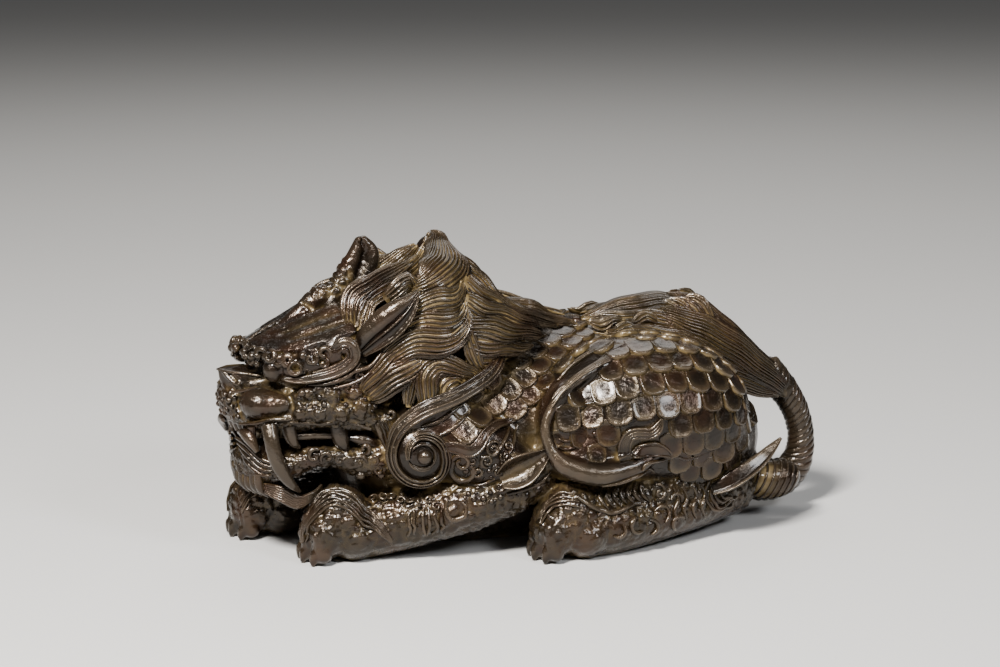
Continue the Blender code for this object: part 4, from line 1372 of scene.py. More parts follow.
def behindHead():
    # the locks of the left side that curl behind the head: which way is out, drift, and the stations
    side = (-0.1, -1.0, 0.25)
    return (
        # the tall twisted lock that rises to the tip
        ((0.05, -0.9, 0.35), 1.5, (-25.8, -12.8, 50.4, 2.0), (-22.2, -13.6, 51.8, 3.6),
         (-19.0, -12.4, 53.6, 4.8), (-17.0, -9.4, 55.8, 4.8), (-16.8, -6.0, 57.8, 3.6),
         (-16.9, -3.2, 59.6, 2.4), (-17.2, -1.6, 60.8, 1.8), (-18.2, -0.8, 61.5, 0.9)),
        # below it, locks that sweep back from the ear and turn up at their ends
        (side, 0.5, (-27.0, -15.6, 47.4, 1.2), (-23.6, -16.4, 49.4, 2.2), (-19.8, -16.4, 50.6, 2.5),
         (-17.0, -15.6, 51.2, 2.1), (-15.2, -14.6, 52.6, 1.2), (-14.8, -13.6, 54.2, 0.5)),
        (side, 0.4, (-27.6, -16.4, 45.0, 1.2), (-23.8, -17.4, 47.0, 1.9), (-19.6, -17.6, 47.4, 2.1),
         (-16.2, -17.0, 48.2, 1.6), (-14.8, -16.2, 50.4, 0.8)),
        (side, 0.3, (-32.4, -17.0, 38.0, 1.2), (-29.4, -17.8, 41.2, 2.1), (-25.4, -18.4, 43.2, 2.7),
         (-20.8, -18.5, 43.5, 2.8), (-17.0, -18.0, 44.2, 2.3), (-15.0, -17.4, 46.2, 1.4),
         (-14.4, -16.6, 48.8, 0.6)),
        # the dusty strands that hang between these and the neck
        ((0, -1, 0.1), 0.0, (-15.2, -15.0, 52.0, 0.6), (-14.8, -16.8, 48.4, 0.8),
         (-14.4, -17.6, 44.6, 1.2), (-13.8, -17.8, 41.2, 1.4), (-12.4, -17.6, 38.4, 0.9),
         (-10.8, -17.2, 36.2, 0.4)),
        # those that fall to the shoulder, the last in a loop
        (side, 0.3, (-23.2, -20.0, 30.4, 0.8), (-23.4, -19.8, 33.6, 2.0), (-23.2, -19.4, 36.8, 2.3),
         (-21.0, -18.9, 38.8, 2.0), (-18.2, -18.7, 38.6, 1.8), (-15.6, -18.6, 37.4, 1.5),
         (-13.2, -18.2, 36.2, 1.1), (-12.8, -17.8, 34.4, 0.7), (-14.8, -18.2, 33.8, 0.4)),
        (side, 0.3, (-19.6, -20.2, 31.2, 0.6), (-19.8, -19.6, 33.6, 1.4), (-18.8, -19.0, 35.6, 1.7),
         (-16.6, -18.8, 36.0, 1.2), (-15.6, -18.6, 34.4, 0.6)),
        (side, 0.2, (-26.8, -19.4, 31.0, 0.5), (-26.6, -19.2, 34.0, 1.2), (-25.8, -18.9, 37.4, 1.5),
         (-24.2, -18.4, 40.4, 1.2), (-22.0, -18.2, 42.2, 0.5)),
        # cheek hair, and the lock behind the ear
        (side, 0.4, (-24.0, -18.6, 40.2, 1.4), (-27.6, -19.0, 38.0, 2.4), (-31.6, -18.6, 35.2, 2.4),
         (-34.4, -17.6, 32.6, 1.2)),
        (side, 0.4, (-28.0, -17.2, 42.4, 1.0), (-30.8, -18.2, 39.4, 1.8), (-33.8, -18.2, 36.6, 1.5),
         (-35.6, -17.6, 34.0, 0.7)),
        (side, 0.4, (-30.0, -14.0, 51.2, 1.0), (-27.6, -14.6, 53.4, 1.6), (-25.2, -13.6, 54.6, 1.4),
         (-24.4, -12.8, 52.6, 0.9)),
        (side, 0.4, (-31.0, -15.4, 47.6, 1.4), (-27.6, -16.0, 49.4, 1.8), (-24.6, -15.4, 51.4, 1.2),
         (-23.0, -14.8, 53.4, 0.5)),
    )


def overNeck():
    # the broad fall from the nape to the back, in combed locks one below another: out, width, points
    return (
        ((0.45, -0.6, 0.7), 2.6, (-13.6, -7.0, 55.8), (-10.0, -7.8, 52.6), (-6.0, -8.2, 48.4),
         (-1.0, -8.2, 46.0), (6.0, -6.2, 43.8), (11.5, -4.5, 42.4)),
        ((0.3, -0.8, 0.5), 2.4, (-14.4, -13.0, 53.6), (-10.4, -13.0, 50.4), (-5.5, -12.6, 47.2),
         (0.5, -10.5, 45.0), (6.5, -8.0, 43.2)),
        ((0.2, -0.9, 0.4), 2.2, (-14.8, -15.5, 50.4), (-10.0, -15.0, 48.2), (-4.0, -13.8, 46.0),
         (1.6, -11.5, 44.2)),
        ((0.1, -0.95, 0.3), 2.2, (-15.0, -17.0, 46.4), (-9.0, -16.4, 44.8), (-3.0, -14.6, 43.4),
         (2.0, -12.4, 42.2)),
        ((0.1, -1.0, 0.2), 1.8, (-15.0, -17.4, 42.6), (-9.0, -16.8, 41.4), (-4.0, -15.0, 40.6),
         (0.0, -13.2, 40.4)),
        ((0.1, -1.0, 0.1), 1.2, (-14.6, -17.2, 39.6), (-10.0, -16.6, 38.6), (-6.0, -15.4, 38.6)),
    )


def risingHair():
    # between the horn and the ear, towards the tip
    return (
        ((-38.6, -12.6, 45.6, 1.4), (-38.4, -11.9, 49.5, 2.0), (-36.6, -10.9, 52.2, 2.2),
         (-33.0, -10.0, 54.0, 1.9), (-28.6, -8.8, 55.6, 1.5), (-23.6, -6.6, 57.4, 0.8)),
        ((-37.4, -15.0, 45.8, 1.0), (-36.2, -13.6, 48.8, 1.3), (-34.6, -12.8, 51.0, 1.3),
         (-31.4, -12.0, 52.6, 1.2), (-27.6, -11.0, 54.0, 0.9)),
    )


def crown():
    # the plain crown behind the horn, and its far side: which way is out, and the stations
    return (
        ((-0.4, 0, 0.9), (-35.2, 0.5, 49.6, 0.4), (-33.2, 0.5, 51.2, 1.4), (-30, 0.5, 52.6, 2.4),
         (-26, 0.5, 54.8, 2.6), (-22.5, 0.5, 57.2, 2.4), (-20, 0, 59.2, 1.2)),
        ((-0.2, 0.5, 0.85), (-35.2, 5.5, 48.6, 0.4), (-33.2, 5.5, 50.4, 1.5), (-30, 5.6, 51.8, 2.6),
         (-26, 5.6, 53.6, 2.8), (-22, 5.2, 55.8, 2.6), (-19, 4, 58.2, 1.2)),
        ((-0.2, -0.5, 0.85), (-35.2, -4.6, 48.6, 0.4), (-33.2, -4.7, 50.4, 1.5), (-30, -4.8, 51.8, 2.6),
         (-26, -5.0, 53.4, 2.8), (-22, -4.8, 55.4, 2.4), (-19.6, -3.6, 57.8, 1.2)),
        ((-0.1, 0.8, 0.6), (-35, 9.8, 47.4, 0.4), (-33, 10.1, 49.2, 1.5), (-30, 10.6, 50.6, 2.8),
         (-26, 10.8, 52.4, 3.0), (-22, 10.4, 54.0, 2.8), (-18.6, 9, 55.8, 1.4)),
        ((0, 0.9, 0.4), (-34.4, 13.6, 44.2, 0.4), (-32.4, 14.2, 46.2, 1.5), (-29.5, 14.8, 48.0, 2.6),
         (-25.5, 15, 49.8, 2.6), (-21.5, 14.6, 51.4, 2.2), (-18, 13.6, 52.8, 1.2)),
    )


def sideLocks(side, seed):
    # the locks of one side; each draws from a seed of its own
    locks = []
    for out, drift, *stations in behindHead():
        seed += 1
        slant = drift if side == left else -drift
        if side == right and not locks:
            # the far one leans back, so that one tip stands alone
            stations = [(x - 0.25 * y, y, z + 0.24 * y, half) for x, y, z, half in stations]
        locks.append(strandLock(onSide(side, *stations), onSide(side, out)[0], seed, drift=slant))
    for out, width, *path in overNeck():
        seed += 1
        size = np.interp(np.arange(len(path)), (0, 1, len(path) - 1), (0.8 * width, width, 0.3 * width))
        stations = [(*point, half) for point, half in zip(path, size)]
        locks.append(strandLock(onSide(side, *stations), onSide(side, out)[0], seed, wave=1.8))
    for stations in risingHair():
        seed += 1
        if side == right:
            # the far ones lie lower, behind the horn
            stations = [(x + 0.8, y, 45 + 0.62 * (z - 45), half) for x, y, z, half in stations]
        rise = onSide(side, (-0.35, -0.8, 0.5))[0]
        locks.append(strandLock(onHead(*onSide(side, *stations)), rise, seed))
    return locks


def maneLocks():
    locks = sideLocks(left, hair["seed"])
    locks.extend(sideLocks(right, hair["seed"] + len(locks)))
    nape = [
        (-15.4, 0, 56.4, 2.4), (-12.3, 0, 55.2, 3.2), (-9.8, 0, 52.6, 4.2), (-7.2, 0, 48.4, 4.8),
        (-3.7, 0, 45.2, 4.8), (0, 0, 44.8, 4.4), (3.6, 0, 44.4, 3.6), (8.6, 0, 42.0, 1.4),
    ]
    locks.append(strandLock(nape, (0.5, 0, 1), 190, wave=1.6))
    # the front of the tall tip
    tip = [
        (-24.2, -6.4, 51.6, 1.0), (-21.6, -4.4, 54.6, 1.9), (-19.4, -2.6, 57.6, 1.8),
        (-18.2, -1.5, 60.0, 1.3), (-18.0, -0.9, 61.4, 0.6),
    ]
    locks.append(strandLock(tip, (-0.8, -0.45, 0.4), 191, drift=0.6))
    for index, (out, *stations) in enumerate(crown()):
        locks.append(strandLock(stations, out, 192 + index, wave=1.4))
    return locks


maneMesh = gather("maneHair", maneLocks(), 0.5)
print("mane:", len(maneMesh.polygons), "faces")


tail = {
    "strands": 6,  # round its bare length
    "twist": 8.0,  # millimetres for one turn
    "reach": 0.72,  # from its middle to a strand's, over its radius
    "strandHalf": 0.36,
}


def tailLocks():
    # which way is out, seed, wave, and the stations: first two on the crest, then those of each side
    crest = (
        ((0.5, 0.0, 1.0), 300, 0.5, (58.4, 0, 25.8, 2.6), (50, 0, 32.8, 4.2), (42.5, 0, 39.6, 4.8),
         (36.6, 0, 44.0, 4.2), (30.4, 0, 45.8, 2.0)),
        ((0.0, 0.0, 1.0), 301, 1.0, (37, 0, 42.6, 3.0), (30, 0, 44.4, 4.4), (22, 0, 43.8, 3.8),
         (13.6, 0, 42.2, 1.2)),
    )
    flank = [
        ((0.35, -0.75, 0.7), 302, 0.5, (57.6, -1.2, 25.6, 2.4), (49.4, -3.6, 31.8, 4.2),
         (41.0, -5.4, 37.6, 5.0), (33.6, -5.6, 41.4, 4.2), (27.6, -4.6, 43.8, 1.8)),
        ((0.15, -0.9, 0.6), 303, 0.8, (55.4, -2.4, 25.6, 1.8), (47.0, -6.0, 29.2, 3.0),
         (38.6, -9.0, 33.6, 4.0), (30.4, -10.2, 37.2, 4.0), (22.4, -9.4, 39.8, 2.8),
         (14.0, -7.4, 41.2, 0.9)),
        ((0.0, -0.5, 1.0), 304, 1.6, (33.0, -5.0, 41.8, 2.4), (26.0, -5.6, 42.6, 2.8),
         (19.6, -4.6, 43.0, 2.2), (14.6, -3.2, 43.0, 0.9)),
    ]
    # short tufts that curl forward over the crest, and wavy ends that run out on the back
    for index in range(4):
        x = 37.6 - 2.0 * index
        z = 45.2 - 0.3 * index
        flank.append(((-0.2, -0.9, 0.5), 310 + index, 1.0, (x + 2.4, -5.2, z - 4.0, 0.8),
            (x + 0.6, -4.6, z - 0.6, 1.1), (x - 1.8, -3.4, z + 0.6, 0.9), (x - 3.4, -2.6, z - 0.8, 0.4)))
    ends = ((24.6, -7.4, 43.0), (20.6, -8.2, 41.4), (17.4, -7.0, 42.8), (23.0, -9.6, 40.0))
    for index, (x, y, z) in enumerate(ends):
        flank.append(((0.0, -0.7, 0.8), 320 + index, 1.8, (x + 3.4, y, z - 0.4, 0.5),
            (x + 0.6, y, z + 0.7, 0.9), (x - 2.0, y - 0.2, z - 0.5, 0.9), (x - 4.6, y, z + 0.5, 0.3)))
    locks = [strandLock(stations, out, seed, wave=wave) for out, seed, wave, *stations in crest]
    for side in (left, right):
        for out, seed, wave, *stations in flank:
            locks.append(strandLock(onSide(side, *stations), onSide(side, out)[0], seed, wave=wave))
    return locks


def ropeRails():
    # the bare length of the tail: strands twisted round its curve
    stations = [
        (44, 0, 10.0, 4.6), (50, 0, 7.0, 4.8), (56, 0, 5.8, 4.2), (60.4, 0, 8.6, 3.5),
        (61.8, 0, 14, 2.9), (60.6, 0, 20, 2.9), (57.6, 0, 25.2, 3.2), (53.6, 0, 29.4, 3.8),
    ]
    path = smoothPath(stations, 130)
    points = path[:, :3]
    along = unit(np.gradient(points, axis=0))
    sideways = np.broadcast_to(np.array((0.0, 1.0, 0.0)), points.shape)
    outer = np.cross(along, sideways)
    distance = np.concatenate([[0], np.cumsum(np.linalg.norm(np.diff(points, axis=0), axis=1))])
    rails = []
    reach = path[:, 3] * tail["reach"]
    half = path[:, 3] * tail["strandHalf"]
    for index in range(tail["strands"]):
        angle = 2 * math.pi * index / tail["strands"] + distance * 2 * math.pi / tail["twist"]
        ray = np.cos(angle)[:, None] * sideways + np.sin(angle)[:, None] * outer
        rails.append(railOf(points + ray * reach[:, None], half, ray, 4, float(index)))
    return rails


def buildTail():
    tuft = gather("tuft", tailLocks(), 0.5)
    rope = sweep("rope", ropeRails(), 14, 0.8, 0.3, 0.2)
    return joinMeshes("tailHair", tuft, rope)


tailMesh = buildTail()
print("tail:", len(tailMesh.polygons), "faces")


# scales

scales = {
    "haunchPitch": (4.9, 3.75),  # along a row, and from row to row
    "flankPitch": (4.5, 3.5),
    "stand": 0.5,  # thickness of the plate's middle
    "tilt": 0.15,  # lifts the free edge over the next row
    "corners": 14,
    "centre": 0.92,  # height of its middle over "stand"; rings are (radius, height)
    "frontPower": 3.2,  # rounded in front, nearly square behind
    "backPower": 6.0,
    "rings": ((0.46, 0.88), (0.85, 0.78), (0.92, 0.92), (0.985, 0.66), (1.02, -1.4)),
    "ringDust": (0.0, 0.2, 0.0, 0.15, 1.0, 0.0),
}


def scaleShape():
    outline = []
    for x, y in circle(scales["corners"]):
        power = scales["frontPower"] if x > 0 else scales["backPower"]
        reach = (abs(x) ** power + abs(y) ** power) ** (-1 / power)
        outline.append((x * reach, y * reach))
    return shapeObject("scaleShape", outline, scales["rings"], scales["centre"])


def ringOf(polygon, x, z):
    # whether (x, z) lies inside the outline
    inside = False
    for (ax, az), (bx, bz) in zip(polygon, polygon[1:] + polygon[:1]):
        if (az > z) != (bz > z) and x < (bx - ax) * (z - az) / (bz - az) + ax:
            inside = not inside
    return inside


def layScales(side, axis, xRange, angles, pitch, radius, slant, inside):
    # rows run round the side from low to high; each scale sits where a ray to the axis meets the skin
    places = []
    ups = []
    tips = []
    sizes = []
    wide, long = pitch
    lowAngle, highAngle = (math.radians(a) for a in angles)
    arc = (highAngle - lowAngle) * radius
    diagonal = math.hypot(xRange[1] - xRange[0], arc)
    rows = round(diagonal / long) + 2
    columns = round(diagonal / wide) + 2
    cosine, sine = math.cos(math.radians(slant)), math.sin(math.radians(slant))
    for row in range(-rows, rows):
        for column in range(-columns, columns):
            u = (column + 0.5 * (row % 2)) * wide + rng.uniform(-0.22, 0.22)
            v = row * long + rng.uniform(-0.15, 0.15)
            x = xRange[0] + u * cosine - v * sine
            height = u * sine + v * cosine
            angle = lowAngle + height / radius
            if not (xRange[0] <= x <= xRange[1] and lowAngle <= angle <= highAngle):
                continue
            centre = Vector((x, side * axis[0], axis[1]))
            ray = Vector((0.0, side * math.cos(angle), math.sin(angle)))
            place, normal, _, _ = bodySkin.ray_cast(centre + ray * 60.0, -ray)
            if place is None or not inside(place, angle):
                continue
            down = Vector((0.0, side * math.sin(angle), -math.cos(angle)))
            tip = down * cosine + Vector((1, 0, 0)) * sine
            tip = (tip - normal * tip.dot(normal)).normalized()
            up = (normal - tip * scales["tilt"]).normalized()
            tip = (tip - up * tip.dot(up)).normalized()
            places.append(place)
            ups.append(up)
            tips.append(tip)
            # smaller where the skin bends away, so that no edge stands off it
            across = up.cross(tip)
            bend = 1.0
            for offset in (tip * long * 0.7, across * wide * 0.55, across * wide * -0.55):
                _, beside, _, _ = bodySkin.find_nearest(place + offset)
                bend = min(bend, normal.dot(beside))
            grow = rng.uniform(0.94, 1.06) * (0.6 + 0.4 * min(1.0, max(bend, 0.0) / 0.9))
            sizes.append((long * 0.76 * grow, wide * 0.52 * grow, scales["stand"]))
    return places, ups, tips, sizes


haunchOutline = [
    (19, 41.4), (11, 38.0), (4.6, 33.4), (1.2, 28.5), (1.2, 23.5), (4, 20.6), (10, 19.4), (17, 19.6),
    (22, 15.5), (42, 11.0), (48, 15), (47, 27), (43.5, 33), (37, 37.5), (29, 40.8),
]
flameRoom = [
    (13.0, 16), (24.6, 17.6), (24.6, 20.4), (23.0, 22.6), (23.2, 28.0), (20.6, 28.0), (17.4, 26.6),
    (13.4, 25.6), (12.8, 21),
]
flankOutline = [
    (-20.5, 29.8), (-19.6, 25.8), (-16, 25.4), (-10.6, 27.0), (-6.4, 27.4), (-2.6, 28.4), (1.2, 33.2),
    (9.4, 38.2), (15, 40.4), (10, 45), (-6, 46), (-9.6, 38), (-17, 33.6),
]


def buildScales():
    shape = scaleShape()
    found = [[], [], [], []]

    def onHaunch(place, _):
        return ringOf(haunchOutline, place.x, place.z) and not ringOf(flameRoom, place.x, place.z)

    def onFlank(place, angle):
        high = angle > math.radians(50)
        if high and 1 < place.x < 12 and 2.4 < abs(place.y) < 15:
            return True
        return ringOf(flankOutline, place.x, place.z)

    haunch = ((8.0, 23.5), (0.0, 49.0), (-36, 100), scales["haunchPitch"], 17.0, 4.0, onHaunch)
    flank = ((0.0, 22.0), (-27.0, 20.0), (-12, 88), scales["flankPitch"], 21.0, 38.0, onFlank)
    for side in (left, right):
        for room in (haunch, flank):
            for part, batch in zip(found, layScales(side, *room)):
                part.extend(batch)
    made = scatter("scales", shape, *found)
    coords, _ = meshArrays(made)
    # the shape's own rings give what lies low: its rim and the ring inside it
    ring = np.arange(len(coords)) % len(shape.data.vertices) // scales["corners"]
    low = np.choose(np.minimum(ring, 5), scales["ringDust"])
    addValues(made, "hollow", "FLOAT", low)
    bpy.data.objects.remove(shape)
    print("scales:", len(found[0]))
    return made


scalesMesh = buildScales()


# shoulder scroll, haunch wisps, elbow leaf, spur and the folds of the feet
ornament = {
    "ridgeHeight": 0.9,
    "bandHeight": 0.42,
    "edge": 0.3,
    "fold": 0.34,
    "foldGap": 0.66,
    "foldLift": 0.12,
}


def dropped(stations, facing):
    # the stations moved straight onto the skin they face
    ray = -Vector(facing).normalized()
    moved = []
    for x, y, z, half in stations:
        place, _, _, _ = bodySkin.ray_cast(Vector((x, y, z)) - ray * 8.0, ray)
        moved.append((*(place if place else (x, y, z)), half))
    return moved


def arc(centre, radius, start, turns, halfWidth, rise=1.0):
    # an arc that faces the beast's left: start and length in turns, from the tail's side over the top
    x, y, z = centre
    steps = max(5, round(abs(turns) * 12))
    stations = []
    for step in range(steps + 1):
        t = step / steps
        angle = 2 * math.pi * (start + turns * t)
        half = halfWidth * min(1.0, 0.5 + 3 * t, 0.5 + 3 * (1 - t))
        stations.append((x + radius * math.cos(angle), y, z + rise * radius * math.sin(angle), half))
    return stations


def innerLines(band, share, lift):
    # two fine lines along a band, inside its rims
    narrow = dict(band)
    narrow["halfWidth"] = band["halfWidth"] * share
    narrow["points"] = band["points"] + band["outward"] * lift
    return rimmed(narrow, 0.22)


def layers(side, facing, usual=0.2):
    # two ways to lay stations given for the left on one side's skin: along facing, or to the nearest
    facing = onSide(side, facing)[0]

    def lay(stations, lift=usual):
        return laid(dropped(onSide(side, *stations), facing), bodySkin, lift)

    def near(stations, lift=usual):
        return laid(onSide(side, *stations), bodySkin, lift)

    return lay, near


def shoulderRails(side):
    lay, _ = layers(side, (-0.1, -1.0, 0.05))
    # one band runs down from the mane and rolls up into the scroll
    volute = [
        (-6.3, -15.0, 41.2, 1.0), (-9.8, -18.0, 36.7, 1.5), (-16.7, -21.0, 33.4, 1.6),
        (-24.7, -21.8, 30.4, 1.6), (-29.0, -22.0, 27.0, 1.5), (-30.4, -22.8, 22.6, 1.35),
        (-29.4, -23.4, 18.8, 1.3), (-26.0, -23.8, 16.6, 1.2), (-22.4, -24.2, 17.2, 1.15),
        (-20.4, -24.4, 19.8, 1.0), (-20.8, -24.4, 23.0, 0.9), (-23.0, -24.4, 25.2, 0.8),
        (-25.8, -24.2, 25.6, 0.65), (-27.6, -24.0, 23.8, 0.5), (-27.8, -24.0, 21.6, 0.3),
    ]
    ribbon = [
        (-21.6, -24.0, 23.4, 0.8), (-18.6, -24.6, 23.4, 1.1), (-15.8, -25.0, 22.5, 1.2),
        (-13.9, -25.1, 23.6, 1.1), (-12.4, -24.7, 25.6, 0.9), (-10.2, -23.9, 26.6, 0.8),
        (-7.6, -22.5, 26.6, 0.6), (-5.2, -20.4, 27.2, 0.2),
    ]
    bands = [lay(volute, 0.4), lay(ribbon, 0.4)]
    ridges = [rim for band in bands for rim in rimmed(band, ornament["edge"])]
    ridges.extend(innerLines(bands[0], 0.42, 0.45))
    centre = (-25.0, -24.2, 22.0)
    for radius, start, turns, half in ((2.5, 0.62, 0.8, 0.36), (2.9, 0.55, 0.3, 0.3)):
        ridges.append(lay(arc(centre, radius, start, turns, half, 0.95), 0.25))
    # small curls under the ribbon
    for x, z, radius, half, start, hand in (
        (-10.7, 23.1, 1.7, 0.42, 0.1, 1.0), (-18.3, 19.4, 2.0, 0.55, 0.6, -1.0),
        (-14.6, 17.2, 1.3, 0.4, 0.3, 1.0), (-12.4, 20.2, 1.4, 0.42, 0.8, -1.0),
        (-8.0, 21.4, 1.2, 0.38, 0.4, 1.0), (-15.6, 20.4, 1.0, 0.36, 0.0, 1.0),
        (-10.2, 17.8, 1.1, 0.36, 0.5, -1.0), (-6.6, 24.4, 1.0, 0.36, 0.7, 1.0),
    ):
        place, normal, _, _ = bodySkin.find_nearest(Vector(onSide(side, (x, -26.0, z))[0]))
        hand = hand if side == left else -hand
        ridges.append(snail(place + normal * 0.2, radius, normal, half, 1.3, start, 0.3, 0.2, hand))
    for stations in (
        # fingers above the ribbon and the line under the flank's scales
        [(-21.4, -23.0, 25.6, 0.3), (-18.8, -23.4, 26.8, 0.45), (-16.2, -23.6, 28.6, 0.35),
            (-15.0, -23.4, 30.2, 0.2)],
        [(-24.8, -22.6, 27.4, 0.3), (-21.6, -23.0, 28.2, 0.4), (-18.6, -22.8, 29.8, 0.4),
            (-16.4, -22.4, 31.2, 0.2)],
        [(-12.8, -24.2, 20.4, 0.2), (-10.2, -24.0, 22.0, 0.4), (-8.2, -23.4, 24.2, 0.4),
            (-7.0, -22.8, 25.6, 0.2)],
        [(-9.4, -24.0, 19.6, 0.2), (-7.6, -23.6, 21.6, 0.4), (-6.0, -22.6, 24.2, 0.3),
            (-5.0, -21.6, 26.0, 0.2)],
        [(-15.8, -24.4, 15.4, 0.2), (-13.2, -24.6, 15.2, 0.35), (-10.8, -24.6, 16.6, 0.3)],
        # the hook under the ribbon
        [(-18.8, -24.0, 20.6, 0.6), (-19.2, -24.2, 18.2, 0.7), (-17.6, -24.6, 16.4, 0.7),
            (-15.4, -24.8, 16.8, 0.6), (-14.8, -24.8, 18.8, 0.45), (-16.0, -24.6, 19.8, 0.3)],
    ):
        ridges.append(lay(stations))
    ridges.append(lay(arc((-10.9, -24.9, 23.2), 1.0, 0.0, 1.0, 0.3), 0.15))
    return ridges, bands


def haunchRails(side):
    lay, near = layers(side, (0.0, -1.0, 0.05))
    flame = [
        (14.8, -27.4, 18.8, 1.5), (14.6, -27.0, 21.0, 1.3), (14.7, -26.9, 23.2, 1.2),
        (15.7, -27.1, 24.8, 1.1), (17.6, -27.3, 25.0, 1.1), (19.6, -27.4, 24.8, 1.1),
        (21.0, -27.4, 25.8, 0.9), (21.8, -27.3, 27.6, 0.2),
    ]
    petal = [
        (16.0, -27.6, 20.4, 0.6), (18.0, -27.4, 21.2, 1.3), (20.4, -27.2, 21.6, 1.5),
        (22.6, -26.8, 20.9, 1.0), (24.4, -26.4, 19.8, 0.2),
    ]
    bands = [near(flame, 0.7), near(petal, 0.6)]
    ridges = [rim for band in bands for rim in rimmed(band, ornament["edge"])]
    ridges.extend(innerLines(bands[0], 0.3, 0.2))
    # lines of the wing, one above another, and its upper edge
    wing = (
        (0.6, -24.6, 30.6, 0.2), (3.4, -24.0, 34.0, 0.36), (7.6, -23.0, 36.6, 0.36),
        (13.0, -21.4, 38.4, 0.32), (20.4, -18.4, 40.6, 0.16),
    )
    for index in range(5):
        up = 0.72 * index
        moved = [(x + 0.5 * up, y + 0.8 * up, z + 0.75 * up, half) for x, y, z, half in wing]
        ridges.append(near(moved))
    ridges.append(near([(3.4, -18.6, 34.0, 0.3), (5.6, -18.0, 36.6, 0.5), (10.0, -17.2, 39.8, 0.5),
        (16.0, -16.0, 41.4, 0.3)]))
    for stations in (
        # the edge under the lowest scales, and folds that spread below the ribbon
        [(17.8, -28.2, 17.6, 0.3), (18.6, -28.0, 18.8, 0.4), (20.6, -27.4, 18.9, 0.4),
            (22.8, -26.6, 18.8, 0.4), (24.9, -26.4, 19.6, 0.4), (27.7, -25.8, 18.6, 0.4),
            (30.4, -25.2, 18.8, 0.4), (33.4, -24.2, 19.4, 0.2)],
        [(9.6, -28.6, 15.2, 0.2), (13.2, -28.6, 15.6, 0.4), (17.0, -28.2, 16.6, 0.45),
            (19.8, -27.8, 17.4, 0.4), (21.4, -27.4, 16.4, 0.25)],
        # smooth bead and short strokes at the front of the haunch
        [(1.6, -26.6, 24.4, 0.2), (3.2, -27.0, 23.6, 0.4), (4.6, -27.4, 24.0, 0.3)],
        [(1.4, -26.6, 22.6, 0.2), (3.4, -27.2, 22.0, 0.4), (5.0, -27.6, 22.4, 0.3)],
    ):
        ridges.append(lay(stations))
    # upright wavy ridges behind the scales
    for index in range(3):
        x = 41.4 + 1.5 * index
        fold = [
            (x - 2.4, -16.5, 34.6 - 0.8 * index, 0.25), (x, -17.5, 30.0 - 0.6 * index, 0.45),
            (x + 0.6, -18.2, 26.0, 0.4), (x, -18.4, 22.4, 0.25),
        ]
        ridges.append(near(fold, 0.15))
    return ridges, bands


def footRails(side):
    lay, near = layers(side, (-0.1, -1.0, 0.1), 0.22)
    # the hind foot: knuckle line, upright waves above it, curls below it, then the folds round the heel
    knuckle = [
        (4.6, -29.0, 13.2, 0.3), (6.6, -30.2, 11.6, 0.55), (8.7, -30.2, 10.4, 0.6),
        (11.2, -30.1, 9.5, 0.55), (14.0, -29.6, 9.8, 0.5), (17.0, -28.6, 10.6, 0.5),
        (18.8, -28.6, 9.8, 0.3),
    ]
    ridges = [lay(knuckle)]
    for index in range(7):
        x = 9.6 + 1.45 * index
        top = 13.8 + 0.1 * index
        ridges.append(lay([(x + 0.9, -27.0, top, 0.2), (x - 0.2, -28.2, top - 1.3, 0.46),
            (x + 0.5, -28.6, top - 2.6, 0.46), (x + 1.5, -28.8, top - 3.7, 0.2)]))
    for index in range(4):
        x = 25.6 + 2.1 * index
        ridges.append(lay([(x, -27.0, 12.4, 0.2), (x + 1.0, -27.2, 10.2, 0.4),
            (x - 0.2, -27.2, 8.0, 0.4), (x + 0.8, -27.0, 5.8, 0.2)]))
    for centre, radius, start, turns in (
        ((17.2, -29.4, 6.6), 1.7, 0.25, 0.6), ((20.2, -28.8, 5.6), 1.5, 0.75, 0.55),
        ((22.6, -28.2, 7.8), 1.7, 0.4, -0.6), ((13.0, -29.8, 6.0), 1.4, 0.6, 0.55),
        ((26.6, -27.0, 5.4), 1.5, 0.1, 0.6), ((22.0, -27.6, 12.2), 1.6, 0.7, 0.6),
        ((22.4, -27.6, 12.0), 0.8, 0.2, 0.6), ((26.2, -27.0, 10.2), 1.3, 0.5, -0.6),
    ):
        ridges.append(lay(arc(centre, radius, start, turns, 0.42)))
    for index in range(4):
        reach = 2.0 + 1.25 * index
        around = arc((39.4, -21.0, 10.0), reach, 0.42, 0.5, 0.4, 0.85)
        ridges.append(near([(*point[:3], 0.4) for point in around], 0.15))
    # lines over the hind paw
    fold = (
        (-3.4, -26.0, 1, 9.0, 0.4, 0.2), (-1.4, -25.6, 1, 12.0, 0.5, 0.3),
        (1.8, -26.2, 1.1, 13.4, 0.9, 0.3), (4.8, -27.6, 0.8, 13.2, 1, 0.2),
    )
    ridges.extend(near(lowered(fold, 0.62 * index)) for index in range(4))
    return ridges


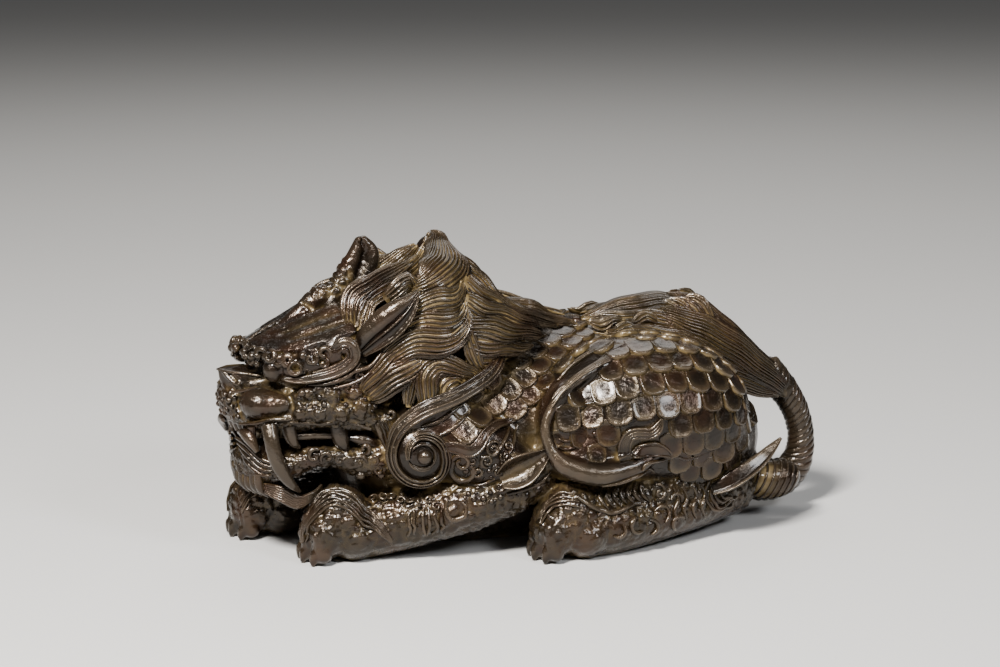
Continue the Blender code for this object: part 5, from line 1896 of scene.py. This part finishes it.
def foreFolds(shift, side, lines):
    # contour lines that climb over a fore paw and run down behind its knuckle
    half = ornament["fold"]
    fold = (
        (-49.0, -15.2, 0.9, 4.4, 0, 0.2), (-48.6, -15.2, 0.8, 7.4, 0.4, 0.25),
        (-47.4, -15.0, 0.6, 9.8, 0.8, 0.3), (-45.4, -14.6, 0.9, 12.6, 0.8, half),
        (-42.4, -14.2, 1.2, 14.6, 0.7, half), (-39.4, -15.0, 1.2, 14.2, 0.8, half),
        (-36.4, -17.0, 1, 12.6, 1, half), (-33.8, -19.2, 0.6, 10.2, 0.9, half),
        (-31.8, -20.2, 0.3, 7.4, 0.7, 0.25), (-30.4, -20.2, 0, 4.8, 0.4, 0.15),
    )
    ridges = []
    for index in range(lines):
        moved = [
            (x + shift[0], y + shift[1], z + shift[2], width)
            for x, y, z, width in lowered(fold, ornament["foldGap"] * index)
        ]
        ridges.append(laid(onSide(side, *moved), bodySkin, ornament["foldLift"]))
    return ridges


def pawFolds():
    ridges = [*foreFolds((0, 0, 0), left, 6), *foreFolds((-10.4, 5.2, 0), right, 4)]
    # the inner side of the far paw, which shows between the two
    half = ornament["fold"]
    fold = (
        (-57.0, 3.4, 0.5, 8.2, 0.8, 0.2), (-54.6, 3.8, 0.8, 11.6, 0.9, half),
        (-52.0, 4.2, 1, 13.6, 0.9, half), (-48.6, 4.8, 0.9, 12.4, 0.9, half),
        (-45.4, 5.2, 0.8, 11.0, 0.9, half), (-42.0, 5.6, 0.8, 9.4, 0.8, 0.2),
    )
    for index in range(5):
        moved = lowered(fold, ornament["foldGap"] * index)
        ridges.append(laid(moved, bodySkin, ornament["foldLift"]))
    for side, back in ((left, 0.0), (right, -8.0)):
        # curls along the top of the forearm, short upright ridges below them, and the hook behind those
        for index in range(8):
            t = index / 7
            x = -33.2 + 11.0 * t + back * (1 - t)
            y = -15.4 - 8.0 * t - 0.6 * (index % 2)
            point = Vector(onSide(side, (x, y, 14.2 - 1.8 * t))[0])
            place, normal, _, _ = bodySkin.find_nearest(point)
            ridges.append(snail(place + normal * 0.1, 0.95, normal, 0.32, 1.1, 0.3 * index, 0.4, 0.2))
        for index in range(6):
            x = -27.6 + 1.35 * index + 0.5 * back
            upright = onSide(side, (x, -22.0, 11.6, 0.2), (x - 0.5, -23.2, 9.4, 0.4),
                (x + 0.1, -23.6, 7.0, 0.4), (x - 0.3, -23.2, 4.8, 0.2))
            ridges.append(laid(upright, bodySkin, ornament["foldLift"]))
        hook = [
            (-20.4, -23.2, 12.8, 0.3), (-20.6, -24.0, 10.4, 0.5), (-19.0, -24.6, 8.8, 0.55),
            (-17.2, -24.8, 9.6, 0.5), (-16.8, -24.4, 11.6, 0.35), (-17.8, -23.8, 12.4, 0.25),
        ]
        ridges.append(laid(onSide(side, *hook), bodySkin, ornament["foldLift"]))
    return ridges


def carvedLeaves(side):
    # the hollow leaf at the elbow, the spur at the heel
    hollowed = [(-1.0, -0.1), (-0.94, 0.3), (-0.66, 0.0), (-0.3, -0.28), (0.2, -0.3), (0.62, -0.02),
        (0.92, 0.32), (1.0, -0.1)]
    keeled = [(-1.0, -0.2), (-0.85, 0.16), (-0.3, 0.22), (0.25, 0.2), (0.5, 0.24), (0.72, 0.7),
        (0.9, 0.72), (1.0, 0.1)]
    elbow = [
        (-9.8, -24.2, 16.4, 1.6), (-7.8, -24.9, 17.4, 3.0), (-5.4, -25.2, 18.6, 3.2),
        (-3.0, -25.5, 20.1, 2.3), (-1.0, -25.6, 21.5, 1.1), (0.8, -25.8, 22.8, 0.2),
    ]
    spur = [
        (34.8, -20.8, 10.6, 1.3), (38.0, -21.6, 12.0, 1.8), (41.4, -21.6, 13.8, 1.8),
        (45.0, -20.8, 15.9, 1.5), (48.0, -19.5, 17.9, 1.0), (50.4, -18.3, 19.6, 0.3),
    ]
    made = []
    for stations, out, section, thickness in (
        (elbow, (-0.1, -1.0, 0.2), hollowed, 2.0), (spur, (-0.3, -1.0, 0.3), keeled, 1.8),
    ):
        profile = sectionOn(side, section)
        made.append(leaf("carved", onSide(side, *stations), onSide(side, out)[0], profile, thickness))
    return made


def buildOrnament():
    ridges = pawFolds()
    bands = []
    leaves = []
    for side in (left, right):
        for more, wide in (shoulderRails(side), haunchRails(side)):
            ridges.extend(more)
            bands.extend(wide)
        ridges.extend(footRails(side))
        leaves.extend(carvedLeaves(side))
        low = onSide(side, (-8.4, -23.8, 13.4, 0.3), (-5.0, -24.8, 14.4, 0.45),
            (-1.8, -24.8, 15.6, 0.4), (0.4, -24.2, 17.4, 0.2))
        ridges.append(rail(low, onSide(side, (0, -1, 0.2))[0]))
    # shell lines round the bulb at the tail's foot
    for index in range(7):
        x = 47.8 + 1.5 * index
        reach = 4.3 * math.sqrt(max(0.04, 1 - ((x - 52.4) / 6.3) ** 2))
        turn = []
        for step in range(11):
            angle = math.radians(-70 + 25 * step)
            lean = 1.7 * math.sin(angle)
            turn.append((x + lean, -8.2 - reach * math.cos(angle), 8.4 + reach * math.sin(angle), 0.26))
        ridges.append(laid(turn, bodySkin, 0.06))
    ridgeMesh = sweep("ridges", ridges, 8, ornament["ridgeHeight"], edgeDust=0.5)
    bandMesh = sweep("bands", bands, 14, ornament["bandHeight"])
    return joinMeshes("ornament", ridgeMesh, bandMesh, *leaves)


ornamentMesh = buildOrnament()
print("ornament:", len(ornamentMesh.polygons), "faces")


# beads and warts
beads = {
    "corners": 10,
    "rings": ((0.5, 0.86), (0.86, 0.5), (1.0, 0.0), (1.0, -0.8)),
    "height": 0.85,  # over the radius
    "seed": 8,
    # count, room from corner to corner, sizes, and the gap over the two sizes
    "cheek": (30, (-51.0, -14.6, 30.4), (-33.6, -14.4, 35.8), (0.35, 0.85), 1.05),
    "forearm": (26, (-17.0, -24.4, 12.0), (-6.0, -24.2, 19.6), (0.35, 0.8), 1.3),
}


def scatterRoom(draw, count, low, high, sizes, gap):
    # random spots in a box that keep clear of one another
    found = []
    for _ in range(count * 30):
        if len(found) == count:
            break
        point = draw.uniform(low, high)
        size = draw.uniform(*sizes)
        if all(np.linalg.norm(point - other) > gap * (size + far) for other, far in found):
            found.append((point, size))
    return found


def buildBeads():
    shape = shapeObject("beadShape", circle(beads["corners"]), beads["rings"], 1.0)
    places = []
    normals = []
    sizes = []

    def add(surface, point, size):
        near, normal, _, _ = surface.find_nearest(Vector(point))
        places.append(near)
        normals.append(normal)
        sizes.append((size, size, size * beads["height"]))

    draw = np.random.default_rng(beads["seed"])
    cheek = scatterRoom(draw, *beads["cheek"])
    forearm = scatterRoom(draw, *beads["forearm"])
    for side in (left, right):
        for point, size in cheek:
            place = onSide(side, (point[0], point[1] - 0.13 * (point[0] + 51.0), point[2]))[0]
            add(headSkin, turnHead(np.array(place)), size)
        for *point, size in (
            (-60.8, -3.6, 31.6, 0.7), (-60.6, -4.6, 30.2, 0.6), (-60.8, -2.4, 29.8, 0.6),
            (-59.8, -5.2, 28.9, 0.55), (-61.0, -2.0, 32.6, 0.65), (-61.2, -0.8, 31.2, 0.6),
            (-60.6, -0.8, 28.8, 0.6), (-57.4, -11.0, 27.6, 0.6), (-56.2, -12.2, 27.8, 0.6),
            (-54.6, -12.6, 27.8, 0.6), (-58.2, -9.4, 27.4, 0.6), (-38.1, -15.8, 15.9, 1.0),
            (-34.0, -15.8, 16.2, 1.0), (-56.9, -7.4, 15.4, 1.0), (-41.4, -16.9, 42.6, 0.85),
        ):
            add(headSkin, turnHead(np.array(onSide(side, point)[0])), size)
        for point, size in forearm:
            add(bodySkin, onSide(side, tuple(point))[0], size)
        for *point, size in ((-24.6, -24.5, 21.9, 1.6), (5.6, -27.4, 26.8, 1.15), (8.2, -27.6, 24.6, 0.7),
            (-13.2, -24.8, 21.0, 0.7), (-10.8, -24.2, 19.0, 0.65)):
            add(bodySkin, onSide(side, point)[0], size)
    for index in range(5):
        add(bodySkin, (9.5 + 3.2 * index, 0, 43.0), 1.3)
    normals = np.array(normals)
    tips = np.cross(normals, np.array((0.3, 0.2, 0.9)))
    made = scatter("beads", shape, places, normals, unit(tips), sizes)
    bpy.data.objects.remove(shape)
    return made


beadsMesh = buildBeads()
print("beads:", len(beadsMesh.polygons), "faces")


# dust in the hollows (on the tail's bulb a painted pool of light) and a painted highlight on open crests,
# for every piece against all of them

shade = {
    "cell": 0.5,
    "margin": 4.0,
    "mostCrossings": 24,
    "near": 1.0,  # how far the narrow hollows reach, and the wide ones
    "far": 3.0,
    "lift": 0.45,
    "closeDust": (0.52, 0.8, 0.8),  # where dust starts, where it is full, and how much that is
    "wideDust": (0.44, 0.66, 0.35),
    "grooveDust": (0.14, 0.36, 0.85),
    # where the painted highlight on open places starts to fade, and where it is gone
    "crests": (0.16, 0.34),
    "spent": ("along", "around", "halfWidth", "strands", "phase", "outward", "up", "tip", "size"),
}
dustiness = {
    "qilinBody": 0.9, "qilinLegs": 0.55, "qilinHead": 0.7, "headTrim": 0.6, "maneHair": 0.95,
    "tailHair": 0.6, "scales": 1.0, "ornament": 0.5, "beads": 0.8,
}
highlightShare = {"qilinLegs": 0.4, "qilinHead": 0.35, "headTrim": 0.5, "beads": 0.5}  # share of the painted highlight on each piece; the rest 1.0


def blur(grid, sigma):
    reach = int(math.ceil(2.2 * sigma))
    weights = np.exp(-0.5 * (np.arange(-reach, reach + 1) / sigma) ** 2)
    weights /= weights.sum()
    for axis in range(3):
        spread = np.zeros_like(grid)
        for offset, weight in zip(range(-reach, reach + 1), weights):
            source = [slice(None)] * 3
            target = [slice(None)] * 3
            size = grid.shape[axis]
            source[axis] = slice(max(0, offset), size + min(0, offset))
            target[axis] = slice(max(0, -offset), size + min(0, -offset))
            spread[tuple(target)] += weight * grid[tuple(source)]
        grid = spread
    return grid


def fillGrid(meshes):
    # which cells of a grid are metal: columns are crossed from above, on a skin fused from all pieces
    together = bmesh.new()
    for mesh in meshes:
        together.from_mesh(mesh)
    piece = placed("together", meshOf("together", together))
    addSkin(piece, shade["cell"])
    fused = takeMesh(piece, "fused")
    coords, _ = meshArrays(fused)
    tree = surfaceOf(fused)
    bpy.data.meshes.remove(fused)
    low = coords.min(axis=0) - shade["margin"]
    high = coords.max(axis=0) + shade["margin"]
    cell = shade["cell"]
    shape = np.ceil((high - low) / cell).astype(int)
    grid = np.zeros(shape, np.float32)
    down = Vector((0, 0, -1))
    for i in range(shape[0]):
        x = low[0] + (i + 0.5) * cell
        for j in range(shape[1]):
            y = low[1] + (j + 0.5) * cell
            top = high[2]
            crossings = []
            while len(crossings) < shade["mostCrossings"]:
                place, _, _, _ = tree.ray_cast(Vector((x, y, top)), down)
                if place is None:
                    break
                crossings.append(place.z)
                top = place.z - 1e-3
            for upper, lower in zip(crossings[0::2], crossings[1::2]):
                start = int((lower - low[2]) / cell + 0.5)
                end = int((upper - low[2]) / cell + 0.5)
                grid[i, j, start:end] = 1.0
    return grid, low


def sample(grid, low, points):
    at = (points - low) / shade["cell"] - 0.5
    base = np.floor(at).astype(int)
    base = np.clip(base, 0, np.array(grid.shape) - 2)
    t = np.clip(at - base, 0, 1)
    total = np.zeros(len(points))
    for dx in (0, 1):
        for dy in (0, 1):
            for dz in (0, 1):
                weight = (
                    (t[:, 0] if dx else 1 - t[:, 0])
                    * (t[:, 1] if dy else 1 - t[:, 1])
                    * (t[:, 2] if dz else 1 - t[:, 2])
                )
                total += weight * grid[base[:, 0] + dx, base[:, 1] + dy, base[:, 2] + dz]
    return total


def addDustAndHighlight(meshes):
    grid, low = fillGrid(meshes.values())
    below = int((0.0 - low[2]) / shade["cell"])
    grid[:, :, :below] = 1.0
    near = blur(grid, shade["near"] / shade["cell"])
    far = blur(near, shade["far"] / shade["cell"])
    for name, mesh in meshes.items():
        coords, normals = meshArrays(mesh)
        points = coords + normals * shade["lift"]
        close = sample(near, low, points)
        wide = sample(far, low, coords + normals * shade["lift"] * 3)
        hollow = np.zeros(len(coords), np.float32)
        if "hollow" in mesh.attributes:
            mesh.attributes["hollow"].data.foreach_get("value", hollow)
            mesh.attributes.remove(mesh.attributes["hollow"])
        for spare in [a.name for a in mesh.attributes]:
            if spare in shade["spent"]:
                mesh.attributes.remove(mesh.attributes[spare])
        dust = np.zeros(len(coords))
        # the hollow marks hold dust in the grooves, and on the tail's bulb a painted pool of light
        for rule, value, room in (
            ("closeDust", close, 1.0), ("wideDust", wide, 1.0), ("grooveDust", wide, hollow),
        ):
            start, full, amount = shade[rule]
            dust += room * fade(value, start, full) * amount
        dust *= dustiness[name]
        # painted highlight: lighter where the skin is open, none in the hollows
        crest = (1 - fade(close, *shade["crests"])) * (1 - hollow)
        addValues(mesh, "dust", "FLOAT", np.clip(dust, 0, 1))
        addValues(mesh, "crest", "FLOAT", np.clip(crest, 0, 1) * highlightShare.get(name, 1.0))


pieceMeshes = {
    "qilinBody": bodyMesh,
    "qilinLegs": legsMesh,
    "qilinHead": headMesh,
    "headTrim": headTrimMesh,
    "maneHair": maneMesh,
    "tailHair": tailMesh,
    "scales": scalesMesh,
    "ornament": ornamentMesh,
    "beads": beadsMesh,
}
addDustAndHighlight(pieceMeshes)
print("dust laid")


# into the frame

def toFrame(name, mesh):
    coords, _ = meshArrays(mesh)
    setCoords(mesh, (coords - np.array(beast["middle"])) * 0.001)
    mesh.polygons.foreach_set("use_smooth", np.ones(len(mesh.polygons), bool))
    mesh.materials.clear()
    mesh.materials.append(bronze)
    piece = placed(name, mesh)
    mesh.calc_loop_triangles()
    print(name, len(mesh.loop_triangles), "triangles")
    return piece


for name, mesh in pieceMeshes.items():
    piece = toFrame(name, mesh)
    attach(piece, "root")
    if mesh is bodyMesh:
        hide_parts("qilin")


# floor, light and camera

studio = {
    "floorColour": (0.42, 0.415, 0.405),
    "floorRough": 0.85,
    "worldColour": (0.75, 0.78, 0.82),
    "worldStrength": 0.07,
    "floorSize": 3.0,
    # name, azimuth, elevation, distance, size, power and colour of each light
    "lights": (
        ("key", -38, 46, 0.55, (0.12, 0.10), 12.5, (1.0, 0.97, 0.93)),
        ("fill", 30, 34, 0.7, (0.16, 0.16), 3.4, (0.95, 0.97, 1.0)),
        ("back", 165, 48, 0.7, (0.5, 0.4), 2.0, (1.0, 0.98, 0.95)),
    ),
    "cameraAzimuth": -15.0,
    "cameraElevation": 12.0,
    "cameraDistance": 0.56,
    "lens": 100.0,
    "target": (-0.00496, 0.00083, 0.0401),
}


def towards(azimuth, elevation):
    a, e = math.radians(azimuth), math.radians(elevation)
    return Vector((math.sin(a) * math.cos(e), -math.cos(a) * math.cos(e), math.sin(e)))


def areaLight(name, azimuth, elevation, distance, size, power, colour):
    lamp = bpy.data.lights.new(name, "AREA")
    lamp.shape = "RECTANGLE"
    lamp.size, lamp.size_y = size
    lamp.energy = power
    lamp.color = colour
    holder = placed(name, lamp)
    aim = Vector((0.0, 0.0, 0.03))
    holder.location = aim + towards(azimuth, elevation) * distance
    holder.rotation_euler = (aim - holder.location).to_track_quat("-Z", "Y").to_euler()


def buildStudio():
    bpy.ops.mesh.primitive_plane_add(size=studio["floorSize"], location=(0, 0, 0))
    floor = bpy.context.object
    floor.name = "floor"
    pale = bpy.data.materials.new("paleFloor")
    pale.use_nodes = True
    shader = pale.node_tree.nodes["Principled BSDF"]
    shader.inputs["Base Color"].default_value = (*studio["floorColour"], 1.0)
    shader.inputs["Roughness"].default_value = studio["floorRough"]
    floor.data.materials.append(pale)
    world = bpy.data.worlds.new("studio")
    world.use_nodes = True
    sky = world.node_tree.nodes["Background"].inputs
    sky["Color"].default_value = (*studio["worldColour"], 1.0)
    sky["Strength"].default_value = studio["worldStrength"]
    bpy.context.scene.world = world
    for light in studio["lights"]:
        areaLight(*light)
    lens = bpy.data.cameras.new("camera")
    lens.lens = studio["lens"]
    lens.sensor_width = 36.0
    lens.clip_start = 0.01
    camera = placed("camera", lens)
    target = Vector(studio["target"])
    sight = towards(studio["cameraAzimuth"], studio["cameraElevation"])
    camera.location = target + sight * studio["cameraDistance"]
    camera.rotation_euler = (target - camera.location).to_track_quat("-Z", "Y").to_euler()
    bpy.context.scene.camera = camera


buildStudio()
print("studio ready")

bpy.context.view_layer.update()
